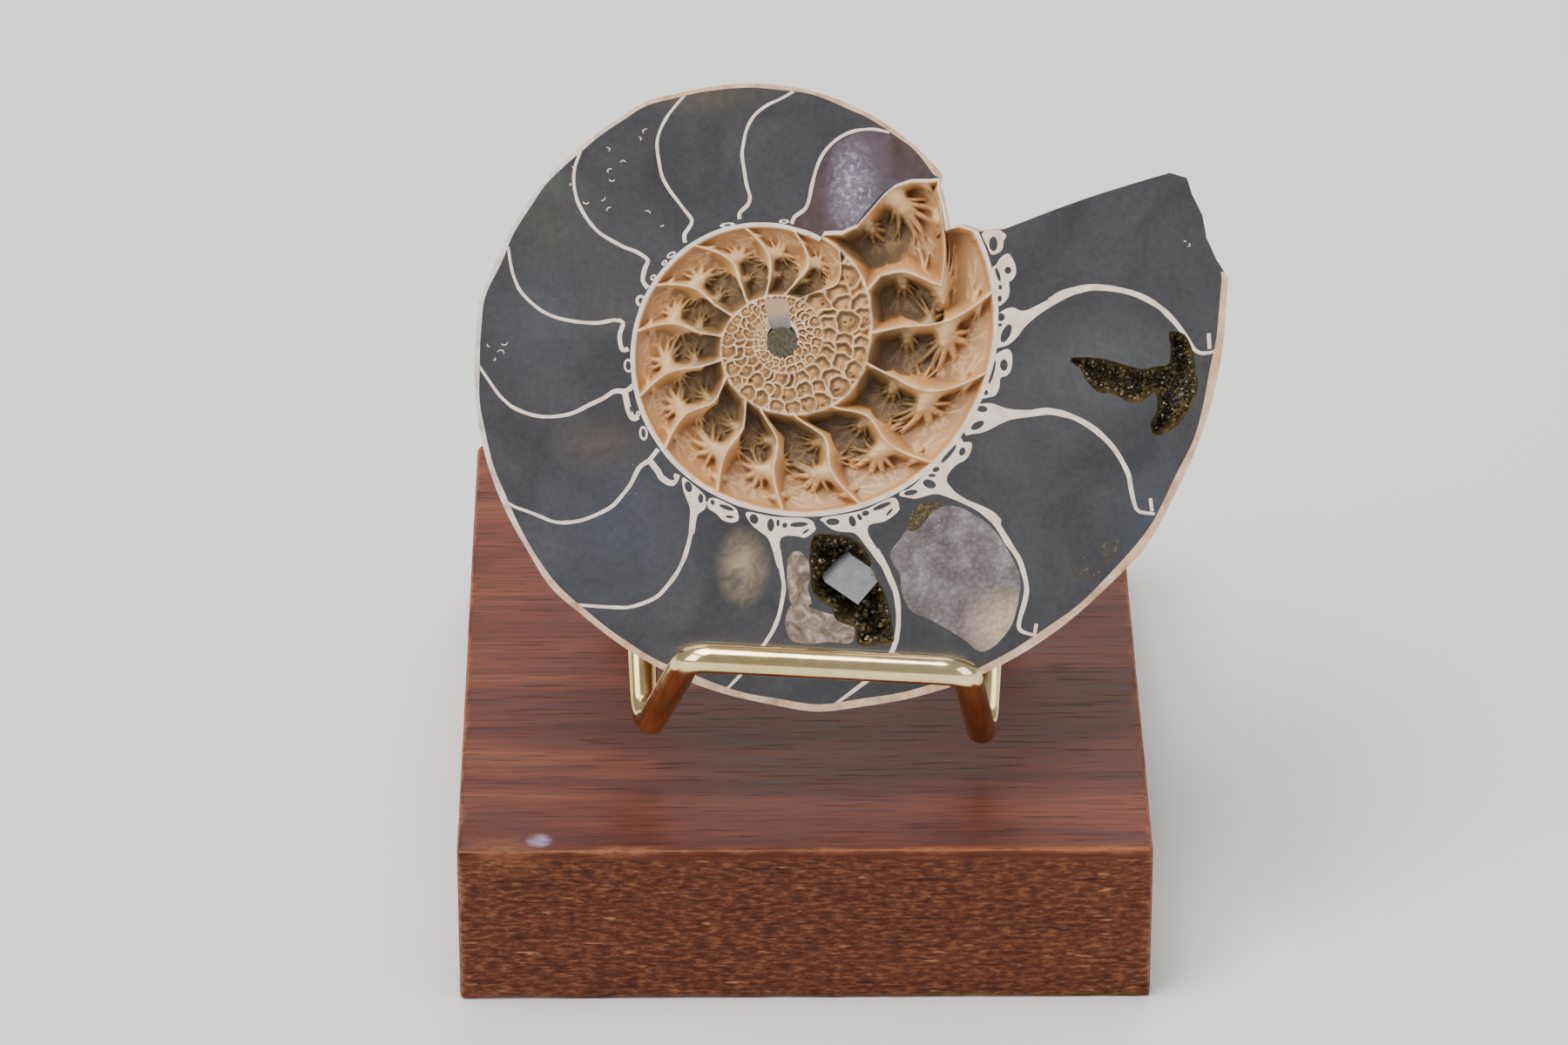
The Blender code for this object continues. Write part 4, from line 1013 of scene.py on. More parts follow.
def build_shell():
    """Filling of the outer whorl and the shell round it, hollow where the chambers are open."""
    plate = Plate()
    turns, own, edge = plate.turns, plate.own, plate.edge
    count = len(turns)
    wall = wall_radius(own)
    rings, ribs = [], []

    def ring(radius, depth, rib=0.0):
        rings.append(on_coil(turns, radius, depth))
        ribs.append(np.broadcast_to(rib, turns.shape))

    for share in RECESS_RINGS[::-1]:
        radius = plate.opening * share
        flank = np.minimum(flank_depth(own, radius)[0], flank_depth(own, 0.9 * radius)[0])
        ring(radius, RECESS_SHARE * flank)
    for radius in (plate.opening, plate.wall, plate.rim, edge):
        ring(radius, 0.0)
    for share in np.concatenate([[1.0], BACK_RINGS]):
        radius = share * (wall + (edge - wall) * share ** 2)
        depth, height = flank_depth(own, radius)
        rib = np.cos(np.radians(RIB_COUNT * own + RIB_SWEEP * RIB_COUNT / 3 * height ** 2))
        fade = np.clip((height - SEAM) * 6.0, 0.0, 1.0)
        rough = np.array([noise.noise(Vector((turn * 0.35, share * 30.0, 3.0))) for turn in turns])
        depth = depth + RIB_HEIGHT * rib * fade + 0.12 * rough
        ring(radius, np.maximum(depth, RIM_DEPTH if share > 0.9 else 0.8), (rib * 0.5 + 0.5) * fade)
    points = list(np.stack(rings).reshape(-1, 3))
    ribs = list(np.concatenate(ribs))
    wall_row = len(RECESS_RINGS) + 1
    rim_row = wall_row + 1
    faces, finishes = [], []
    for row in range(len(rings) - 1):
        if row == wall_row:
            continue
        look = "infill" if row < wall_row - 1 else "cream" if row < wall_row else "shell"
        for column in range(count):
            after = (column + 1) % count
            faces.append((row * count + column, row * count + after,
                          (row + 1) * count + after, (row + 1) * count + column))
            is_mouth = MOUTH_EDGE[0] < turns[column] < MOUTH_EDGE[1]
            edge_look = "infill" if is_mouth else "rim"
            finishes.append(SHELL_FINISHES.index(edge_look if rim_row <= row <= rim_row + 1 else look))
    hub_front, hub_back = len(points), len(points) + 1
    floor = float(flank_depth(np.array([DEEPEST_TURN]), np.array([0.0]))[0][0])
    points += [on_coil(0.0, 0.0, floor * HUB_SHARE), rings[-1].mean(axis=0)]
    last = (len(rings) - 1) * count
    for column in range(count):
        after = (column + 1) % count
        faces += [(hub_front, after, column), (hub_back, last + column, last + after)]
        finishes += [0, 1]

    def face_ring(radius):
        angle = np.radians(turns)
        return np.stack([radius * np.cos(angle), -radius * np.sin(angle)], axis=1)

    flat = [face_ring(plate.rim), face_ring(plate.wall)]
    looks = [0, -1]
    for look, outline in section_inlays():
        kept = plate.keep(outline, CHALCEDONY_SNAP if look == "chalcedony" else 0.0)
        if enclosed_area(kept) / enclosed_area(outline) > LEAST_KEPT:
            flat.append(kept)
            looks.append(SHELL_FINISHES.index(look))
    for outline, _ in VUGS:
        flat.append(rounded(outline))
        looks.append(SHELL_FINISHES.index("druse"))
    loops, start = [], 0
    for outline in flat:
        loop = list(range(start, start + len(outline)))
        loops.append(loop if enclosed_area(outline) > 0 else loop[::-1])
        start += len(outline)
    flat += [vug_places(outline) for outline, _ in VUGS]
    flat = np.concatenate(flat)
    cut = geometry.delaunay_2d_cdt([Vector(place) for place in flat.tolist()], [], loops, 1, 1e-5)
    places, _, triangles, origins, _, areas = cut
    places = np.array([tuple(place) for place in places])
    depth = vug_depth(places)
    spots = on_face(places[:, 0], places[:, 1], depth)
    index = []
    for spot, origin in zip(spots, origins):
        ring_place = [place for place in origin if place < 2 * count]
        if ring_place:
            row = rim_row if ring_place[0] < count else wall_row
            index.append(row * count + ring_place[0] % count)
        else:
            index.append(len(points))
            points.append(spot)
    for triangle, area in zip(triangles, areas):
        if 1 in area or 0 not in area:
            continue
        faces.append(tuple(index[corner] for corner in reversed(triangle)))
        finishes.append(looks[max(area)])
    ribs += [0.0] * (len(points) - len(ribs))
    points, faces = turned_out(points, faces)
    materials = [finish(name) for name in SHELL_FINISHES]
    piece = add_piece("shell_and_filling", points, faces, materials, finishes, 32.0, {"rib": ribs})
    clean_normals(piece)
    return piece


# Open chambers

# Half widths in mm of the crests of the septa and the walls, and their depth behind the cut face
CREST = 0.13
OUTER_CREST = 0.16
INNER_CREST = 0.14
CREST_DROP = 0.012
# Depths of the floor, as shares of the whorl's width
FLOOR = 0.3
OUTER_FLOOR = 0.27
OUTWARD_RISE = 0.09
HOLLOW_FLOOR = 0.44
# How near the floors and the back of a slab come to the outer side of the shell
SLAB_SHARE = 0.8
FLOOR_LIMIT = 0.68
# Where each lobe leaves the lower septum, as a share across the whorl
UPPER_ROOT = 0.62
LOWER_ROOT = 0.3
CORNER_ROOT = 0.88
# Each lobe's limbs: bearing in degrees, length and half width as shares of the whorl's width
UPPER_HAND = (
    (-72, 0.18, 0.016), (-46, 0.29, 0.02), (-20, 0.36, 0.024), (4, 0.39, 0.025), (27, 0.38, 0.024),
    (50, 0.34, 0.021), (74, 0.25, 0.017))
LOWER_HAND = (
    (-62, 0.14, 0.013), (-30, 0.22, 0.017), (0, 0.25, 0.018), (30, 0.22, 0.017), (60, 0.15, 0.013))
CORNER_HAND = ((-30, 0.12, 0.014), (8, 0.16, 0.014))
# Small lobes of the next septum: place across the whorl and reach; each has four limbs, with a
# share of that reach
BACK_HANDS = ((0.49, 0.24), (0.83, 0.2))
BACK_LIMBS = ((-45, 1.0, 0.013), (-15, 1.2, 0.016), (18, 1.1, 0.015), (48, 1.0, 0.013))
# Round hollows in the floor: place along and across, and radius
HOLLOWS = ((0.34, 0.19, 0.21), (0.5, 0.4, 0.2))
HOLLOW_LIP = 0.16
# How steeply the floor climbs to the next septum, by place across the whorl
SHORE = ((0.0, 3.0), (0.2, 2.2), (0.42, 1.15), (0.6, 1.8), (0.8, 2.8), (1.0, 3.0))
# Slopes of a finger's side, and of the walls under the lower septum, the inner and the outer wall
FINGER_SLOPE = 4.5
SEPTUM_SLOPE, INNER_SLOPE, OUTER_SLOPE = 2.8, 2.6, 3.6
BACK_COLUMNS = 13
# The turn up to which a whorl's outer wall is the edge of the polished face
PLATE_END = 651.5
# How far in degrees and mm the first slab reaches under the last filled septum
TUCK = 2.0
LAP = 0.25
# How far in degrees the start of a slab leans under the slab before it
SLAB_LEAN = 0.5
# Least step in mm between columns that the notch presses together
SQUEEZE = 0.002


def last_filled_septum():
    """The last filled septum, as the share of the whorl's width and the turn, from its open edge."""
    pairs = []
    for turn, radius in OPEN_EDGE:
        low = float(wall_radius(turn + FULL_TURN)) + INNER_CREST
        high = float(wall_radius(turn)) - WALL_WIDTH + 0.05 - OUTER_CREST
        pairs.append((max(0.0, (radius - low) / (high - low)), turn))
    return pairs


def septum_turn(number, across):
    """Turn of a septum at each share across the whorl; 0 is the last filled one, 1 the broken one."""
    if number == 0:
        return np.interp(across, *zip(*last_filled_septum()))
    if number == 1:
        return np.interp(across, *zip(*BROKEN_SEPTUM))
    line = smooth_line(list(zip(SEPTUM_PLACES, SEPTA[number - 2])), 0.03)
    return np.interp(across, line[:, 0], line[:, 1])


def smooth_least(first, second, blend):
    """The lesser of two depths, with a rounded corner where they cross."""
    share = np.clip(0.5 + 0.5 * (second - first) / blend, 0.0, 1.0)
    return second + (first - second) * share - blend * share * (1.0 - share)


class Relief:
    """Depth of one chamber's wall over a grid: x from its lower septum, y across the whorl."""

    def __init__(self, x, y, span, chance):
        self.x, self.y, self.span, self.chance = x, y, span, chance
        self.depth = np.full_like(x, FLOOR)
        self.ridge = np.zeros_like(x)
        # Where the finish paints shade into the round hollows, from 0 to 1
        self.hollow = np.zeros_like(x)

    def stroke(self, start, end, wide, narrow, high, low):
        """One finger, which narrows and sinks from its start to its end."""
        run = end - start
        share = ((self.x - start[0]) * run[0] + (self.y - start[1]) * run[1]) / max(run @ run, 1e-9)
        share = np.clip(share, 0.0, 1.0)
        away = np.hypot(self.x - start[0] - share * run[0], self.y - start[1] - share * run[1])
        half = wide + (narrow - wide) * share
        top = high + (low - high) * share
        side = top + 0.5 * half * np.minimum(1.0, away / half) ** 2
        side = side + FINGER_SLOPE * np.maximum(0.0, away - half)
        self.ridge = np.maximum(self.ridge, np.clip((self.depth - side) / 0.03, 0.0, 1.0) * np.clip(
            2.2 - 1.2 * away / half, 0.0, 1.0))
        self.depth = np.minimum(self.depth, side)

    def limb(self, start, angle, length, half, high, low, forks):
        """A limb that bends, narrows and sinks, and then parts again."""
        chance = self.chance
        for bend in (0.0, chance.uniform(-0.22, 0.22)):
            angle += bend
            end = start + np.array((math.cos(angle), math.sin(angle))) * length * 0.5
            sunk = high + (low - high) * 0.3
            self.stroke(start, end, half, half * 0.84, high, sunk)
            start, half, high = end, half * 0.84, sunk
        if forks:
            spreads = (-0.42, 0.06, 0.46) if chance.random() < 0.45 else (-0.3, 0.3)
            for spread in spreads:
                bearing = angle + spread + chance.uniform(-0.1, 0.1)
                reach = length * chance.uniform(0.48, 0.7)
                self.limb(start, bearing, reach, half * 0.74, high, low, forks - 1)

    def hand(self, root, limbs, trunk, high, low, facing=0.0):
        """A lobe of the septum: a smooth flared trunk that parts into forked limbs."""
        chance = self.chance
        length, half = trunk
        root = np.array(root)
        turn = np.array((math.cos(facing), math.sin(facing)))
        waist, wrist = root + turn * length * 0.5, root + turn * length
        sunk = high + (low - high) * 0.16
        self.stroke(root - turn * 0.04, waist, half * 3.2, half * 1.35, high, (high + sunk) / 2)
        self.stroke(waist, wrist, half * 1.3, half, (high + sunk) / 2, sunk)
        for degrees, reach, thick in limbs:
            sink = low - OUTWARD_RISE * max(0.0, math.sin(math.radians(degrees))) * math.cos(facing)
            angle = facing + math.radians(degrees + chance.uniform(-7, 7))
            start = waist + (wrist - waist) * (0.25 + 0.75 * math.cos(math.radians(degrees)))
            start = start + np.array((-turn[1], turn[0])) * half * 0.8 * math.sin(math.radians(degrees))
            self.limb(start, angle, reach * 0.5 * chance.uniform(0.88, 1.12), thick, sunk, sink, 2)

    def pit(self, u, v, radius, depth):
        """A small round pit in the floor."""
        ring = np.hypot(self.x - u, self.y - v) / radius
        self.depth = self.depth + depth * np.clip(1.0 - ring ** 2, 0.0, 1.0) ** 0.6

    def close(self):
        """Steep sides under the lower septum and the two spiral walls."""
        self.depth = smooth_least(self.depth, SEPTUM_SLOPE * self.x + 0.004, 0.012)
        self.depth = smooth_least(self.depth, OUTER_SLOPE * (1.0 - self.y) + 0.002, 0.015)
        self.depth = smooth_least(self.depth, INNER_SLOPE * self.y + 0.002, 0.015)
        self.depth = np.maximum(self.depth, 0.0)


def lumps(x, y, size, chance):
    """Soft random lumps over a chamber, between -1 and 1."""
    total = np.zeros_like(x)
    for _ in range(9):
        angle = chance.uniform(0.0, math.tau)
        stride = math.tau / size * chance.uniform(0.6, 1.6)
        along = x * math.cos(angle) + y * math.sin(angle)
        total += np.sin(stride * along + chance.uniform(0.0, math.tau))
    return total / 5.0


def chamber_relief(x, y, span, chance):
    """Floor, hollows and lobes of one chamber, in shares of the whorl's width."""
    relief = Relief(x, y, span, chance)
    to_next = span - x
    outward = np.clip((y - 0.5) / 0.4, 0.0, 1.0)
    floor = FLOOR + (OUTER_FLOOR - FLOOR) * outward + 0.02 * lumps(x, y, 0.12, chance)
    shore = np.interp(y, *zip(*SHORE))
    relief.depth = smooth_least(floor, shore * to_next + 0.004, 0.05)
    width = float(np.interp(0.35, y[0], span[0]))
    for share, middle, radius in HOLLOWS:
        ring = np.hypot((x - share * width) / (0.9 * radius), (y - middle) / radius)
        bowl = HOLLOW_LIP + (HOLLOW_FLOOR - HOLLOW_LIP) * np.clip(1.0 - ring ** 2, 0.0, 1.0) ** 0.35
        relief.depth = np.where(ring < 1.0, np.maximum(relief.depth, bowl), relief.depth)
        # The inside of each round hollow, which the finish darkens as painted shade
        relief.hollow = np.maximum(relief.hollow, np.clip((1.0 - ring) * 7.0, 0.0, 1.0))
    for place, reach in BACK_HANDS:
        edge = float(np.interp(place, y[0], span[0]))
        limbs = [(angle, reach * share, thick) for angle, share, thick in BACK_LIMBS]
        relief.hand((edge, place), limbs, (0.05, 0.025), 0.06, FLOOR, math.pi)
    relief.hand((0.0, LOWER_ROOT), LOWER_HAND, (0.09, 0.032), 0.04, HOLLOW_FLOOR - 0.03)
    reach = min(1.1, max(0.7, float(np.interp(UPPER_ROOT, y[0], span[0])) / 0.56))
    limbs = [(angle, length * reach, thick) for angle, length, thick in UPPER_HAND]
    relief.hand((0.0, UPPER_ROOT), limbs, (0.15 * reach, 0.05), 0.0, FLOOR)
    relief.hand((0.0, CORNER_ROOT), CORNER_HAND, (0.05, 0.02), 0.01, OUTER_FLOOR)
    for _ in range(4):
        relief.pit(chance.uniform(0.15, 0.9) * width, chance.uniform(0.9, 0.95), 0.025, 0.05)
    relief.depth = relief.depth + 0.006 * lumps(x, y, 0.07, chance) * np.clip(relief.depth / 0.1, 0.0, 1.0)
    relief.close()
    return relief


def soften(field):
    """Evens out the steps of a grid a little."""
    wide = np.pad(field, 1, mode="edge")
    return (4 * field + wide[:-2, 1:-1] + wide[2:, 1:-1] + wide[1:-1, :-2] + wide[1:-1, 2:]) / 8


def chamber_strip(name, septum_lines, along, across, seed, tuck=0.0, lap=0.0):
    """One closed slab for a run of chambers: each septum's crest lies in the cut face.

    Its first row is turned back by tuck degrees and moved outwards by lap mm.
    """
    chance = random.Random(seed)
    y = np.linspace(0.0, 1.0, across)
    blocks = []
    for before, after in zip(septum_lines, septum_lines[1:]):
        start, end = before(y), after(y)
        middle = (start + end) / 2
        inner = wall_radius(middle + FULL_TURN)
        outer = wall_radius(middle)
        width = float((outer - inner).mean())
        length = np.maximum(np.radians(end - start) * (inner + (outer - inner) * y), 2.5 * CREST)
        steps = np.linspace(0.0, 1.0, along - 1)
        span = np.broadcast_to(((length - 2 * CREST) / width)[None, :], (along - 1, across))
        x = steps[:, None] * span
        relief = chamber_relief(x, np.broadcast_to(y[None, :], x.shape), span, chance)
        closing = after is septum_lines[-1]
        offset = np.concatenate([np.zeros((1, across)), CREST + x * width] + [length[None, :]] * closing)
        turn = start[None, :] + (end - start)[None, :] * offset / length
        raised = np.zeros_like(turn)
        if not blocks:
            turn[0] -= tuck
            raised[0] = lap
        pad = np.zeros((1, across))
        depth, ridge, hollow = (np.concatenate([pad, soften(field)] + [pad] * closing) for field in (
            relief.depth * width, relief.ridge, relief.hollow))
        depth[1] = depth[along - 1] = 0.0
        low = wall_radius(turn + FULL_TURN)
        high = wall_radius(turn)
        cut = (turn > NOTCH_TURN - 0.5) & (turn < MOUTH_TURN)
        beside = np.where(turn < PLATE_END, high - WALL_WIDTH + 0.05, high)
        high = np.where(cut, np.minimum(beside, opening_radius(turn) + 0.05), beside)
        place = low + INNER_CREST + (beside - low - INNER_CREST - OUTER_CREST) * y[None, :]
        brink = high - OUTER_CREST - SQUEEZE * np.arange(across)[::-1]
        place = np.where(cut, np.minimum(place, brink), place) + raised
        depth = np.where(cut, np.minimum(depth, 2.4 * (high - OUTER_CREST - place)), depth)
        depth = np.minimum(depth, FLOOR_LIMIT * flank_depth(turn, place)[0])
        sides = [np.concatenate([field[:, :1], field, field[:, -1:]], axis=1) for field in (
            turn, place, depth, ridge, hollow)]
        turn, place, depth, ridge, hollow = sides
        place[:, 0], place[:, -1] = low[:, 0], high[:, -1]
        depth[:, 0] = depth[:, -1] = 0.0
        # Share of the deepest floor: the finish turns it from cream to tan, and darker still as painted
        # shade
        deep = np.clip(depth / (HOLLOW_FLOOR * width), 0.0, 1.0)
        blocks.append((turn, place, depth + CREST_DROP, deep, ridge, hollow))
    return slab(name, *(np.concatenate(field) for field in zip(*blocks)))


def slab(name, turn, place, depth, deep, ridge, hollow):
    """A closed slab from rows along the whorl: the given depths in front, a plain back behind."""
    rows, columns = turn.shape
    front = on_coil(turn, place, depth).reshape(-1, 3)
    spread = np.sin(np.linspace(0.0, math.pi / 2, BACK_COLUMNS))
    picks = np.round((columns - 1) * spread).astype(int)
    back_turn, back_place = turn[:, picks], place[:, picks]
    back_turn[0] -= SLAB_LEAN
    back_depth = np.maximum(SLAB_SHARE * flank_depth(back_turn, back_place)[0], 0.6)
    back = on_coil(back_turn, back_place, back_depth).reshape(-1, 3)
    count = rows * columns
    faces = grid_faces(rows, columns) + grid_faces(rows, BACK_COLUMNS, count, True)
    index = np.arange(count).reshape(rows, columns)
    under = count + np.arange(rows * BACK_COLUMNS).reshape(rows, BACK_COLUMNS)
    for row in range(rows - 1):
        faces.append((index[row, 0], under[row, 0], under[row + 1, 0], index[row + 1, 0]))
        faces.append((index[row, -1], index[row + 1, -1], under[row + 1, -1], under[row, -1]))
    for row, back_first in ((0, False), (-1, True)):
        for step in range(BACK_COLUMNS - 1):
            fan = [(index[row, column], index[row, column + 1], under[row, step])
                   for column in range(picks[step], picks[step + 1])]
            fan.append((index[row, picks[step + 1]], under[row, step + 1], under[row, step]))
            faces += [face[::-1] for face in fan] if back_first else fan
    extra = np.zeros(rows * BACK_COLUMNS)
    marks = {mark: np.concatenate([field.ravel(), extra]) for mark, field in (
        ("deep", deep), ("ridge", ridge), ("hollow", hollow))}
    points, faces = turned_out(np.concatenate([front, back]), faces)
    return add_piece(name, points, faces, [finish("chamber")], None, 50.0, marks)


HEART_START = 676.0
HEART_END = 1440.0
HEART_SCALES = 3
HEART_WALL = 0.1
HEART_LINE = 0.075


def heart_scales(chance):
    """Centres and radii in mm of the heart's small arched septa, in growth order from the rim inward."""
    scales = []
    turn = HEART_START - 12.0
    while turn < HEART_END + 12.0:
        inner, outer = float(wall_radius(turn + FULL_TURN)), float(wall_radius(turn))
        size = (outer - inner) / HEART_SCALES
        for across in range(HEART_SCALES):
            place = inner + size * (across + 0.5 + chance.uniform(-0.16, 0.16))
            angle = turn + math.degrees(size * chance.uniform(-0.3, 0.3) / place)
            scales.append((angle, place, size * chance.uniform(0.58, 0.78)))
        turn += math.degrees(size * chance.uniform(0.86, 1.04) / ((inner + outer) / 2))
    return sorted(scales)


def build_heart(along, across):
    """The close inner whorls: overlapping arched cells, with painted shade just inside each arch and in its
    pits.
    """
    chance = random.Random(9)
    steps = 1.0 - (1.0 - np.linspace(0.0, 1.0, along)) ** 0.8
    share = np.linspace(0.0, 1.0, across)[None, :]
    start = septum_turn(len(SEPTA) + 1, share[0])
    turn = start[None, :] + (HEART_END - start)[None, :] * steps[:, None]
    low, high = wall_radius(turn + FULL_TURN), wall_radius(turn)
    place = low + HEART_WALL + (high - low - 2 * HEART_WALL) * share
    width = high - low
    depth = 0.16 * width
    hollow = np.zeros_like(depth)
    for centre, radius, size in heart_scales(chance):
        near = np.abs(turn[:, across // 2] - centre) < math.degrees(2.2 * size / radius) + 14.0
        part_turn, part_place = turn[near], place[near]
        ahead = np.radians(part_turn - centre) * part_place
        offset = np.hypot(ahead, part_place - radius)
        bearing = np.arctan2(part_place - radius, ahead)
        waver = 0.06 * np.sin(3 * bearing + centre) + 0.035 * np.sin(7 * bearing - centre)
        edge = size * (1.0 + waver) - offset
        outside = np.clip(1.6 * (-edge - HEART_LINE), 0.0, None)
        inward = np.clip(edge / size, 0.0, 1.0)
        arch = np.clip(2.2 * (edge - HEART_LINE), 0.0, 0.42 * size) * np.interp(
            inward, (0.0, 0.35, 0.8, 1.0), (1.0, 1.0, 0.55, 0.5))
        depth[near] = np.where(edge > 0.0, arch, np.minimum(depth[near], outside))
        # Painted shade, strongest just inside each arch
        shade = np.interp(inward, (0.0, 0.1, 0.25, 0.5), (0.0, 0.8, 1.0, 0.0))
        hollow[near] = np.where(edge > 0.0, shade, hollow[near] * (outside > 0.0))
        for _ in range(2):
            middle = (chance.uniform(-0.1, 0.7) * size, chance.uniform(-0.45, 0.45) * size)
            pit = np.hypot(ahead - middle[0], part_place - radius - middle[1])
            pit = pit / (chance.uniform(0.12, 0.2) * size)
            hole = np.where(edge > 0.2 * size, np.clip(1.0 - pit ** 2, 0.0, 1.0) ** 0.6, 0.0)
            depth[near] += 0.2 * size * hole
            # Painted shade in each pit
            hollow[near] = np.maximum(hollow[near], hole)
    for side in (share, 1.0 - share):
        depth = np.minimum(depth, 1.6 * side * width + 0.01)
    depth = soften(depth)
    depth[0] = depth[-1] = 0.0
    # Share of the cells' depth, which the finish darkens partly as painted shade
    deep = np.clip(depth / (0.22 * width), 0.0, 1.0)
    fields = (turn, place, depth, deep, np.zeros_like(depth), hollow)
    fields = [np.concatenate([field[:, :1], field, field[:, -1:]], axis=1) for field in fields]
    fields[1][:, 0], fields[1][:, -1] = low[:, 0], high[:, -1]
    fields[2][:, 0] = fields[2][:, -1] = 0.0
    fields[3][:, 0] = fields[3][:, -1] = 0.0
    fields[2] = fields[2] + CREST_DROP
    fields[2][0] += CREST_DROP
    return slab("heart_cells", *fields)


# How many chambers, counted from the notch, are in the upper piece, and in both large ones
UPPER_CHAMBERS = 3
LARGE_CHAMBERS = 6
# Grid of each chamber, and of the heart: rows along the whorl and columns across it
LARGE_GRID = (140, 194)
SMALL_GRID = (82, 114)
HEART_GRID = (1000, 64)


def build_chambers():
    """The open chambers in three pieces, and the heart's cells."""
    lines = [lambda y, k=k: septum_turn(k, y) for k in range(len(SEPTA) + 2)]
    fine = 1.0
    large, small, heart = ([int(count * fine) for count in grid] for grid in (
        LARGE_GRID, SMALL_GRID, HEART_GRID))
    return (
        chamber_strip("upper_chambers", lines[:UPPER_CHAMBERS + 1], *large, 5, TUCK, LAP),
        chamber_strip("lower_chambers", lines[UPPER_CHAMBERS:LARGE_CHAMBERS + 1], *large, 7),
        chamber_strip("middle_chambers", lines[LARGE_CHAMBERS:], *small, 6),
        build_heart(*heart),
    )


# Heart plug and the flush patch beside it

PLUG_CENTRE = (0.0, -0.5)
PLUG_RADIUS = 1.75
PLUG_RING = 2.25
HEART_PATCH = (
    (-1.9, 4.3), (-0.7, 4.5), (0.7, 4.3), (0.9, 2.6), (1.0, 1.2), (0.1, 0.8), (-1.3, 1.2), (-1.7, 2.6))


def prism(shapes, outline, front, back, look=0):
    """Adds a flat closed slab with the given outline to a collector."""
    outline = np.asarray(outline)
    count = len(outline)
    points = np.concatenate([on_face(outline[:, 0], outline[:, 1], front),
                             on_face(outline[:, 0], outline[:, 1], back)])
    faces = [tuple(range(count)), tuple(range(2 * count - 1, count - 1, -1))]
    faces += [(k, (k + 1) % count, (k + 1) % count + count, k + count) for k in range(count)]
    shapes.add(points, faces, look)


def build_plug():
    """The dark plug, the ring that it sits in and the patch above it."""
    shapes = Collector()
    for radius, front, back in ((PLUG_RADIUS, 0.0, 1.4), (PLUG_RING, 0.32, 1.2)):
        prism(shapes, oval(*PLUG_CENTRE, radius, radius, 0, 48), front, back, 0)
    prism(shapes, rounded(HEART_PATCH), 0.004, 1.0, 1)
    return shapes.make("heart_plug", [finish("plug"), finish("heart_patch")])


# Crystals in the hollows

def crystal(shapes, u, v, depth, size, chance, look=0):
    """A small six-sided crystal that leans out of the wall."""
    lean = np.array((chance.uniform(-0.7, 0.7), chance.uniform(-0.7, 0.7), -1.0))
    lean /= np.linalg.norm(lean)
    side = np.cross(lean, (0.0, 1.0, 0.2))
    side /= np.linalg.norm(side)
    other = np.cross(lean, side)
    centre = np.array((u, v, depth))
    length = size * chance.uniform(0.8, 1.6)
    corners = []
    for along, wide in ((-0.5, 1.0), (0.6, 1.0)):
        for step in range(6):
            angle = math.tau * step / 6
            corners.append(centre + lean * length * along + wide * size / 2 * (
                side * math.cos(angle) + other * math.sin(angle)))
    corners += [centre - lean * length * 0.7, centre + lean * length * chance.uniform(0.9, 1.15)]
    corners = np.array(corners)
    corners[:, 2] = np.maximum(corners[:, 2], 0.15)
    points = on_face(corners[:, 0], corners[:, 1], corners[:, 2])
    faces = []
    for step in range(6):
        after = (step + 1) % 6
        faces += [(step, after, after + 6, step + 6), (12, after, step), (13, step + 6, after + 6)]
    shapes.add(points, faces, look)


def druse_crystals(outline, count, sizes, looks, seed):
    """Small crystals strewn over the wall of a hollow; looks are picked from at random."""
    chance = random.Random(seed)
    shapes = Collector()
    low, high = np.min(outline, axis=0), np.max(outline, axis=0)
    smooth = rounded(outline)
    places = np.array([(chance.uniform(low[0], high[0]), chance.uniform(low[1], high[1]))
                       for _ in range(8 * count)])
    inward = edge_distance(places, smooth)
    places, inward = places[inward >= 0.25][:count], inward[inward >= 0.25][:count]
    for place, room, depth in zip(places, inward, vug_depth(places)):
        size = min(chance.uniform(*sizes), room * 1.1)
        crystal(shapes, *place, depth, size, chance, chance.choice(looks))
    return shapes


RHOMB_CENTRE = (8.2, -27.9)
RHOMB_HALF = 2.9
RHOMB_DEPTHS = (0.5, 4.2)
RHOMB_CORNERS = ((-1.15, -0.1, 0.1), (-0.1, 0.95, 0.5), (1.15, 0.15, 0.2), (0.15, -1.0, -0.1))


def build_lower_druse():
    """The crystals of the lower hollow, with one large clear rhomb."""
    shapes = druse_crystals(LOWER_VUG, 260, (0.35, 0.9), (0, 0, 0, 1), 4)
    u, v = RHOMB_CENTRE
    low, high = RHOMB_DEPTHS
    corners = []
    for depth, shift in ((low, (0.0, 0.0)), (high, (-0.5, 0.9))):
        for right, up, dip in RHOMB_CORNERS:
            corners.append((u + right * RHOMB_HALF + shift[0], v + up * RHOMB_HALF + shift[1], depth + dip))
    corners = np.array(corners)
    points = on_face(corners[:, 0], corners[:, 1], corners[:, 2])
    faces = [(0, 1, 2, 3), (7, 6, 5, 4), (0, 4, 5, 1), (1, 5, 6, 2), (2, 6, 7, 3), (3, 7, 4, 0)]
    shapes.add(points, faces, 2)
    return shapes.make("lower_druse", [finish("olive"), finish("amber"), finish("clear")], 0.0)


def build_right_druse():
    """The crystals of the right hollow."""
    shapes = druse_crystals(RIGHT_VUG, 420, (0.25, 0.6), (0, 0, 0, 1), 6)
    return shapes.make("right_druse", [finish("olive"), finish("amber")], 0.0)


# Brass easel

